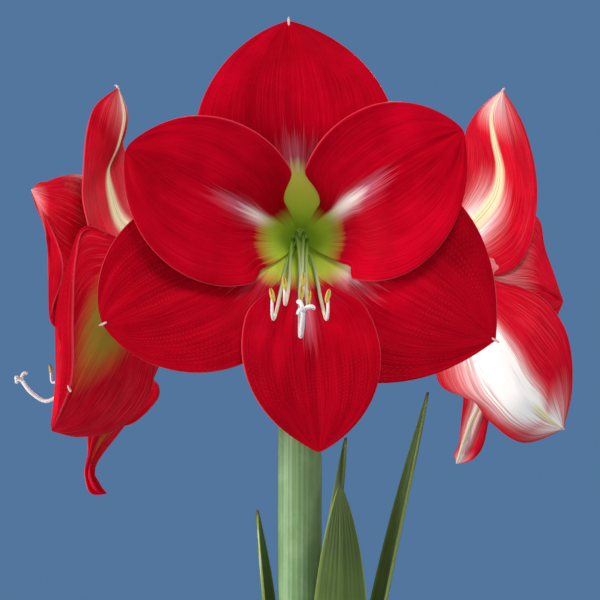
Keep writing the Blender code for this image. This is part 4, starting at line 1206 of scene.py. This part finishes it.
def make_style(name, node, bloom, frame, finishes):
    """The style and its stigma of three curled lobes."""
    style_finish, stigma_finish = finishes
    route = through(hung(STYLE_ROUTE, bloom), STYLE_STEPS)
    radii = [STYLE_RADIUS * (1.0 - 0.12 * k / STYLE_STEPS) for k in range(STYLE_STEPS + 1)]
    shaft = tube(name + "_style", route, blunt_ends(radii), 14, frame)
    shaft.data.materials.append(style_finish)
    end = route[-1]
    ahead = (route[-1] - route[-2]).normalized()
    side = ahead.cross(Vector((1, 0, 0))).normalized()
    pieces = [shaft]
    for i in range(3):
        away = Matrix.Rotation(math.tau * (i + 0.25) / 3, 3, ahead) @ side
        stations = ((0.35, 0.3), (0.5, 0.8), (0.2, 1.1))
        curl = [end + (ahead * along + away * out) * STIGMA_LENGTH for along, out in stations]
        path = through([end - ahead * 1.2, *curl], 12)
        radii = [0.8 + 0.3 * math.sin(k / 12 * math.pi * 0.8) for k in range(13)]
        lobe = tube(f"{name}_lobe_{i + 1}", path, blunt_ends(radii, 0.8, 0.6), 12, frame)
        lobe.data.materials.append(stigma_finish)
        pieces.append(lobe)
    finished(joined(name + "_style_and_stigma", pieces), "style", [node])


def make_pedicel(name, node, bloom, frame, finish):
    """A flower stem that bends over and swells into the three-lobed ovary."""
    facing = frame.to_3x3() @ Vector((0, 0, 1))
    end = frame.translation - facing * 0.1
    foot = outward(bloom.heading) * PEDICEL_CIRCLE + Vector((0, 0, STALK_TOP - 4.7))
    pulls = [foot, foot + Vector((0, 0, 24)), end - facing * 30, end]
    route = [bezier(pulls, (i / PEDICEL_STEPS) ** 0.9) for i in range(PEDICEL_STEPS + 1)]
    radii, swells = [], []
    for place in route:
        back = (place - end).length
        swell = math.sin(math.pi * min(1.0, back / OVARY_LENGTH)) ** 0.8 if back < OVARY_LENGTH else 0
        neck = (TUBE_FOOT_RADIUS - 1.2 - PEDICEL_RADIUS) * (1 - smooth(back, 0, OVARY_LENGTH * 0.6))
        radii.append(PEDICEL_RADIUS + neck + (OVARY_RADIUS - PEDICEL_RADIUS - neck * 0.6) * swell)
        swells.append(swell)
    rows = PEDICEL_STEPS + 2

    def lobed(along, turn):
        swell = swells[int(clamp(round(along * rows) - 1, 0, PEDICEL_STEPS))]
        return 1 + 0.09 * swell * math.cos(3 * turn) + 0.015 * math.cos(9 * turn)

    piece = tube(name + "_flower_stem", route, radii, 36, None, lobed)
    finished(piece, "flower_stem", [node], finish)


# Stalk, leaves, bracts

def make_stalk(finish):
    foot = NECK_HOLLOW_FLOOR + 0.3
    keys = [
        (STALK_FOOT_RADIUS - 1.5, foot), (STALK_FOOT_RADIUS, foot + 2), (STALK_FOOT_RADIUS, foot + 60),
        (STALK_RADIUS + 0.3, STALK_TOP - 250), (STALK_RADIUS, STALK_TOP - 150),
        (STALK_RADIUS, STALK_TOP - 60), (STALK_TOP_RADIUS + 0.4, STALK_TOP - 12),
        (STALK_TOP_RADIUS, STALK_TOP - 1.5), (STALK_TOP_RADIUS - 2.5, STALK_TOP), (0, STALK_TOP),
    ]
    profile = [Vector((0, foot))]
    for (r0, h0), (r1, h1) in zip(keys, keys[1:]):
        steps = max(1, int((h1 - h0) / 8))
        profile += [Vector((r0 + (r1 - r0) * i / steps, h0 + (h1 - h0) * i / steps)) for i in range(steps)]
    profile.append(Vector((0, STALK_TOP)))

    def ribbed(radius, turn, height):
        ribs = 0.10 * math.cos(26 * turn + 0.6 * rough(height * 0.02, 1))
        ribs += 0.18 * rough(math.cos(turn) * 1.3, height * 0.012, math.sin(turn) * 1.3)
        return radius + ribs * min(1, radius / 6), height

    piece = turned("flower_stalk", profile, 96, ribbed)
    finished(piece, "stem", ["stalk"], finish)


def leaf_point(leaf, along, across):
    pulls = [leaf.foot, leaf.pull_low, leaf.pull_high, leaf.tip]
    centre = bezier(pulls, along)
    ahead = bezier_ahead(pulls, along)
    face = outward(leaf.face_foot + (leaf.face_tip - leaf.face_foot) * smooth(along, 0.1, 0.75))
    side = ahead.cross(face).normalized()
    face = side.cross(ahead)
    width = leaf.width * (0.62 + 0.38 * smooth(along, 0.1, 0.6)) * max(0.0, 1 - along**5) ** leaf.blunt
    channel = leaf.channel_foot + (leaf.channel - leaf.channel_foot) * smooth(along, 0, 0.5)
    turn = across * width / 2 / channel
    relief = 0.16 * math.cos(across * 34) * smooth(along, 0.05, 0.3) * (1 - smooth(along, 0.9, 1))
    relief -= 0.5 * ridge(across, 0.09) * smooth(along, 0.05, 0.3) * (1 - smooth(along, 0.85, 1))
    return centre + side * channel * math.sin(turn) + face * (channel * (1 - math.cos(turn)) + relief)


def make_leaf(name, leaf, finish):
    piece = blade(name + "_blade", LEAF_GRID, partial(leaf_point, leaf), LEAF_THICKNESS)
    applied(piece, "BEVEL", width=0.35 * MM, segments=2, limit_method="ANGLE", angle_limit=math.radians(50))
    finished(smoothed(piece), "leaf", [name], finish)


def make_bract(name, heading, hang, finish):
    """A withered spathe valve, with crinkled margins, that hangs beside the stalk's top."""
    out = outward(heading)
    held = STALK_TOP_RADIUS + 0.9 + BRACT_THICKNESS / 2
    pulls = [
        out * held + Vector((0, 0, STALK_TOP - 11)),
        out * held + Vector((0, 0, STALK_TOP + 16)),
        out * (held + 18) + Vector((0, 0, STALK_TOP + 8)),
        out * (held + 11) + Vector((0, 0, STALK_TOP - hang)),
    ]

    def point(along, across):
        centre = bezier(pulls, along)
        ahead = bezier_ahead(pulls, along)
        side = Vector((out.y, -out.x, 0))
        face = side.cross(ahead)
        if face.dot(out) < 0 and along < 0.5:
            face = -face
        width = BRACT_WIDTH * max(0.0, 1 - along**2.2) ** 0.8
        channel = held + 14 * along
        turn = across * width / 2 / channel
        crinkle = 0.5 * rough(across * 4, along * 14, heading) + 0.3 * rough(across * 11, along * 5, 4)
        lift = channel * (1 - math.cos(turn)) + crinkle * smooth(along, 0.15, 0.4)
        return centre + side * channel * math.sin(turn) - face * lift

    finished(blade(name + "_valve", BRACT_GRID, point, VALVE_THICKNESS), "husk", [name], finish)


# Pot, soil and bulb

def pot_inner_radius(height):
    share = (height - POT_FLOOR) / (POT_HEIGHT - POT_FLOOR)
    foot = POT_FOOT_RADIUS - POT_WALL + 1.5
    return foot + (POT_TOP_RADIUS - POT_WALL - foot) * share


def make_pot(finish):
    """The thrown pot: rounded edges, faint wheel rings, drain holes."""
    rim_foot = POT_HEIGHT - RIM_HEIGHT
    wall_at_rim = POT_FOOT_RADIUS + (POT_TOP_RADIUS - RIM_STEP - POT_FOOT_RADIUS) * rim_foot / POT_HEIGHT
    corners = [
        (0, POT_FLOOR), (pot_inner_radius(POT_FLOOR), POT_FLOOR),
        (pot_inner_radius(POT_HEIGHT) + 0.8, POT_HEIGHT), (POT_TOP_RADIUS + 2, POT_HEIGHT),
        (POT_TOP_RADIUS, rim_foot), (wall_at_rim, rim_foot + 0.4),
        (POT_FOOT_RADIUS, 0), (0, 0),
    ]
    rounded = eased(corners, 2.6, 6)
    profile = [rounded[0]]
    for before, after in zip(rounded, rounded[1:]):
        steps = max(1, int((after - before).length / 3.2))
        profile += [before + (after - before) * (i + 1) / steps for i in range(steps)]

    def thrown(radius, turn, height):
        if radius < 12:
            return radius, height
        ring = 0.16 * rough(height * 0.55, 3.3)
        ring += 0.3 * rough(math.cos(turn) * 0.9, math.sin(turn) * 0.9, height * 0.02)
        return radius + ring * (0.4 if height < 1 or height > POT_HEIGHT - 1 else 1), height

    pot = turned("pot_shell", profile, 128, thrown)
    for i in range(DRAIN_HOLES):
        turn = math.tau * i / DRAIN_HOLES
        deselect()
        bpy.ops.mesh.primitive_cylinder_add(
            vertices=40, radius=DRAIN_HOLE_RADIUS * MM, depth=40 * MM,
            location=(math.cos(turn) * DRAIN_HOLE_CIRCLE * MM, math.sin(turn) * DRAIN_HOLE_CIRCLE * MM, 0),
        )
        hole = bpy.context.object
        applied(pot, "BOOLEAN", operation="DIFFERENCE", object=hole, solver="EXACT")
        bpy.data.objects.remove(hole)
    only(pot)
    bpy.ops.object.shade_smooth_by_angle(angle=math.radians(40))
    finished(pot, "clay", ["pot"], finish)


def bulb_radius(height):
    if height <= BULB_WIDEST:
        t = (BULB_WIDEST - height) / (BULB_WIDEST - BULB_FOOT)
        return max(12.0, BULB_RADIUS * math.sqrt(max(0.0, 1 - (0.97 * t) ** 2.4)))
    t = smooth(height, BULB_WIDEST - 6, NECK_TOP - 16)
    return BULB_RADIUS + (NECK_RADIUS - BULB_RADIUS) * t


def make_bulb(finish, flake_finish):
    """The bulb: a ridged tunic, a neck of old leaf bases, and papery flakes that have come loose."""
    rings = [BULB_FOOT + (NECK_TOP - 1.2 - BULB_FOOT) * i / 60 for i in range(61)]
    profile = [Vector((0, BULB_FOOT))] + [Vector((bulb_radius(h), h)) for h in rings] + [
        Vector(p) for p in (
            (NECK_HOLLOW_RADIUS + 1.6, NECK_TOP), (NECK_HOLLOW_RADIUS + 0.9, NECK_TOP - 0.4),
            (NECK_HOLLOW_RADIUS + 0.4, NECK_TOP - 2), (NECK_HOLLOW_RADIUS + 0.2, NECK_TOP - 9),
            (NECK_HOLLOW_RADIUS, NECK_HOLLOW_FLOOR + 5), (NECK_HOLLOW_RADIUS, NECK_HOLLOW_FLOOR),
            (NECK_HOLLOW_RADIUS / 2, NECK_HOLLOW_FLOOR), (0, NECK_HOLLOW_FLOOR),
        )
    ]

    def ridged(radius, turn, height):
        if radius < NECK_HOLLOW_RADIUS + 1.7 and height > NECK_HOLLOW_FLOOR - 1:
            return radius, height
        x, y = math.cos(turn), math.sin(turn)
        fold = 0.5 * rough(x * 9, y * 9, height * 0.012) + 0.7 * rough(x * 1.4, y * 1.4, height * 0.03)
        return radius + fold * min(1, radius / 30) - 0.3, height

    bulb = turned("bulb_tunic", profile, 160, ridged)
    finished(bulb, "bulb_skin", ["bulb"], finish)
    flakes = []
    draw = random.Random(11)
    for i in range(FLAKES):
        heading = i * 360 / FLAKES + draw.uniform(-9, 9)
        low, high = 123 + draw.uniform(0, 4), 150 + draw.uniform(0, 26)
        spread = draw.uniform(17, 30)
        curl = draw.uniform(1.0, 3.2)
        seed = draw.uniform(0, 99)

        def point(along, across):
            height = low + (high - low) * along
            edge = 1 - 0.75 * smooth(along, 0.55, 1) ** 1.5
            turn = math.radians(heading + across * spread * edge * (1 + 0.15 * rough(along * 4, seed)))
            out = 0.8 + 0.25 * abs(rough(across * 3, along * 3, seed)) + curl * smooth(along, 0.6, 1) ** 2
            out += 0.35 * rough(across * 8, along * 4, seed)
            radius = bulb_radius(height) + out
            height += 3.0 * rough(across * 3.2, seed) * smooth(along, 0.6, 1)
            return Vector((radius * math.sin(turn), -radius * math.cos(turn), height))

        flake = blade(f"bulb_flake_{i}", FLAKE_GRID, point, FLAKE_THICKNESS)
        flake.data.materials.append(flake_finish)
        flakes.append(flake)
    finished(joined("bulb_flakes", flakes), "bulb_skin", None)


def soil_height(x, y):
    lump = math.sin(0.21 * x + 1.3) * math.cos(0.17 * y) + 0.5 * math.sin(0.43 * y + 0.12 * x)
    return SOIL_TOP + 1.2 * lump + 0.9 * rough(x * 0.22, y * 0.22) + 0.6 * rough(x * 0.6, y * 0.6, 5)


def make_soil(finish, bark_finish, perlite_finish):
    """The bed of soil, with crumbs, bark and perlite on it."""
    inner, outer = bulb_radius(SOIL_TOP) + SOIL_GAP, pot_inner_radius(SOIL_TOP) - SOIL_GAP
    profile = [Vector((0, BULB_FOOT - 1))] + [
        Vector((bulb_radius(h) + SOIL_GAP + 0.3, h)) for h in (BULB_FOOT - 1, 66, 74, 82, 90, 100, 108, 114)
    ]
    profile += [Vector((inner + (outer - inner) * i / SOIL_RINGS, SOIL_TOP)) for i in range(SOIL_RINGS + 1)]
    profile += [Vector((pot_inner_radius(h) - SOIL_GAP, h)) for h in (110, 90, 60, 30, POT_FLOOR + 3)]
    profile += [Vector((pot_inner_radius(POT_FLOOR) - 5, POT_FLOOR + 0.4)), Vector((0, POT_FLOOR + 0.4))]

    def lumpy(radius, turn, height):
        if abs(height - SOIL_TOP) > 0.01:
            return radius, height
        x, y = radius * math.cos(turn), radius * math.sin(turn)
        return radius, soil_height(x, y) if inner + 0.2 < radius < outer - 0.2 else SOIL_TOP - 0.5

    finished(turned("soil_bed", profile, 150, lumpy), "earth", ["soil"], finish)

    draw = random.Random(4)

    def scattered(name, count, low, high, flat, bit_finish):
        deselect()
        bpy.ops.mesh.primitive_ico_sphere_add(subdivisions=1, radius=1)
        model = bpy.context.object
        bits = bmesh.new()
        for _ in range(count):
            size = draw.uniform(low, high) * draw.uniform(0.6, 1)
            radius = math.sqrt(draw.uniform((inner + size) ** 2, (outer - size) ** 2))
            turn = draw.uniform(0, math.tau)
            x, y = radius * math.cos(turn), radius * math.sin(turn)
            spin = Matrix.Rotation(draw.uniform(0, math.tau), 4, "Z")
            spin @= Matrix.Rotation(draw.uniform(-0.5, 0.5), 4, "X")
            long, wide = size * draw.uniform(0.8, 1.3), size * draw.uniform(0.6, 1)
            shape = Matrix.Diagonal((long, wide, size * flat, 1))
            place = Matrix.Translation((x, y, soil_height(x, y) + size * flat * 0.35))
            start = len(bits.verts)
            bits.from_mesh(model.data)
            bits.verts.ensure_lookup_table()
            for vert in bits.verts[start:]:
                knob = 1 + 0.3 * rough(vert.co.x * 2 + x, vert.co.y * 2 + y, vert.co.z * 2)
                vert.co = (place @ (spin @ (shape @ (vert.co * knob)))) * MM
        mesh = bpy.data.meshes.new(name)
        bits.to_mesh(mesh)
        bits.free()
        bpy.data.objects.remove(model)
        piece = bpy.data.objects.new(name, mesh)
        bpy.context.scene.collection.objects.link(piece)
        only(piece)
        bpy.ops.object.shade_smooth_by_angle(angle=math.radians(60))
        finished(piece, "earth", None, bit_finish)

    scattered("soil_crumbs", 900, 0.7, 2.4, 0.75, finish)
    scattered("soil_bark", 70, 2.0, 4.6, 0.32, bark_finish)
    scattered("soil_perlite", 90, 0.7, 1.9, 0.8, perlite_finish)


# Stage

def make_stage():
    scene = bpy.context.scene
    scene.view_settings.view_transform = "Standard"
    world = bpy.data.worlds.new("studio")
    world.use_nodes = True
    tree = world.node_tree
    wall = tree.nodes["Background"]
    wall.inputs["Color"].default_value = (*hue(82, 118, 158), 1)
    glow = tree.nodes.new("ShaderNodeBackground")
    glow.inputs["Color"].default_value = (*hue(196, 198, 202), 1)
    glow.inputs["Strength"].default_value = 0.34
    seen = tree.nodes.new("ShaderNodeLightPath")
    both = tree.nodes.new("ShaderNodeMixShader")
    tree.links.new(seen.outputs["Is Camera Ray"], both.inputs[0])
    tree.links.new(glow.outputs[0], both.inputs[1])
    tree.links.new(wall.outputs[0], both.inputs[2])
    tree.links.new(both.outputs[0], tree.nodes["World Output"].inputs["Surface"])
    scene.world = world

    deselect()
    bpy.ops.mesh.primitive_circle_add(vertices=128, radius=1.35, fill_type="NGON", location=(0, 0, -0.0002))
    floor = bpy.context.object
    floor.name = floor.data.name = "studio_floor"
    floor.data.materials.append(studio_floor())
    bpy.ops.object.transform_apply(location=True, rotation=True, scale=True)

    def soft_light(name, place, target, size, power):
        light = bpy.data.lights.new(name, "AREA")
        light.shape, light.size, light.energy = "DISK", size, power
        lamp = bpy.data.objects.new(name, light)
        scene.collection.objects.link(lamp)
        lamp.location = place
        lamp.rotation_euler = (Vector(target) - Vector(place)).to_track_quat("-Z", "Y").to_euler()

    soft_light("key_light", (-2.0, -0.65, 0.72), (0, 0, 0.5), 0.8, 38)
    soft_light("front_light", (0.1, -1.75, 0.7), (0, 0, 0.58), 0.5, 3.0)
    soft_light("high_light", (0.3, -1.25, 1.85), (0.04, 0, 0.55), 0.6, 17)
    soft_light("right_light", (1.5, -0.9, 1.3), (0.1, 0, 0.56), 0.6, 4.5)
    soft_light("back_light", (0.3, 1.6, 1.5), (0, 0, 0.5), 1.0, 16)

    camera = bpy.data.cameras.new("camera")
    camera.sensor_width = SENSOR
    camera.lens = SENSOR * FOCAL_PIXELS / PHOTO_PIXELS
    camera.clip_start, camera.clip_end = 0.05, 30
    eye = bpy.data.objects.new("camera", camera)
    scene.collection.objects.link(eye)
    eye.location = EYE
    eye.rotation_euler = (math.pi / 2, 0, 0)
    scene.camera = eye


def main():
    make_stage()
    petal = (petal_face(), petal_back(), petal_point())
    throat = (tube_green(), crown_white())
    stamen = (filament_white(), pollen_yellow())
    style = (style_white(), stigma_white())
    pedicel = stem_green("flower_stem_green", (122, 160, 74), (84, 118, 46))
    for name, bloom in BLOOMS.items():
        placing = bloom_frame(bloom)
        for i, tepal in enumerate(bloom.tepals):
            make_tepal(
                f"{name}_tepal_{i + 1}", name + "_perianth", tepal,
                THROATS[name][i], BACKS[name][i], placing, petal,
            )
        make_flower_tube(name + "_flower_tube", name + "_perianth", placing, throat)
        make_stamens(name, name + "_stamens", bloom, placing, stamen)
        make_style(name, name + "_style", bloom, placing, style)
        make_pedicel(name, name + "_pedicel", bloom, placing, pedicel)
    make_stalk(stem_green("stalk_green", (148, 186, 128), (94, 130, 72), wax=0.5))
    green = leaf_green()
    for name, leaf in LEAVES.items():
        make_leaf(name, leaf, green)
    husk = husk_paper("husk_paper", (206, 178, 128), (148, 112, 68), (110, 76, 44))
    for name, (heading, hang) in BRACTS.items():
        make_bract(name, heading, hang, husk)
    make_bulb(bulb_skin(), husk_paper("flake_paper", (168, 116, 70), (96, 58, 34), (62, 36, 22)))
    make_pot(terracotta())
    make_soil(soil_dark(), bark_brown(), perlite_white())


main()
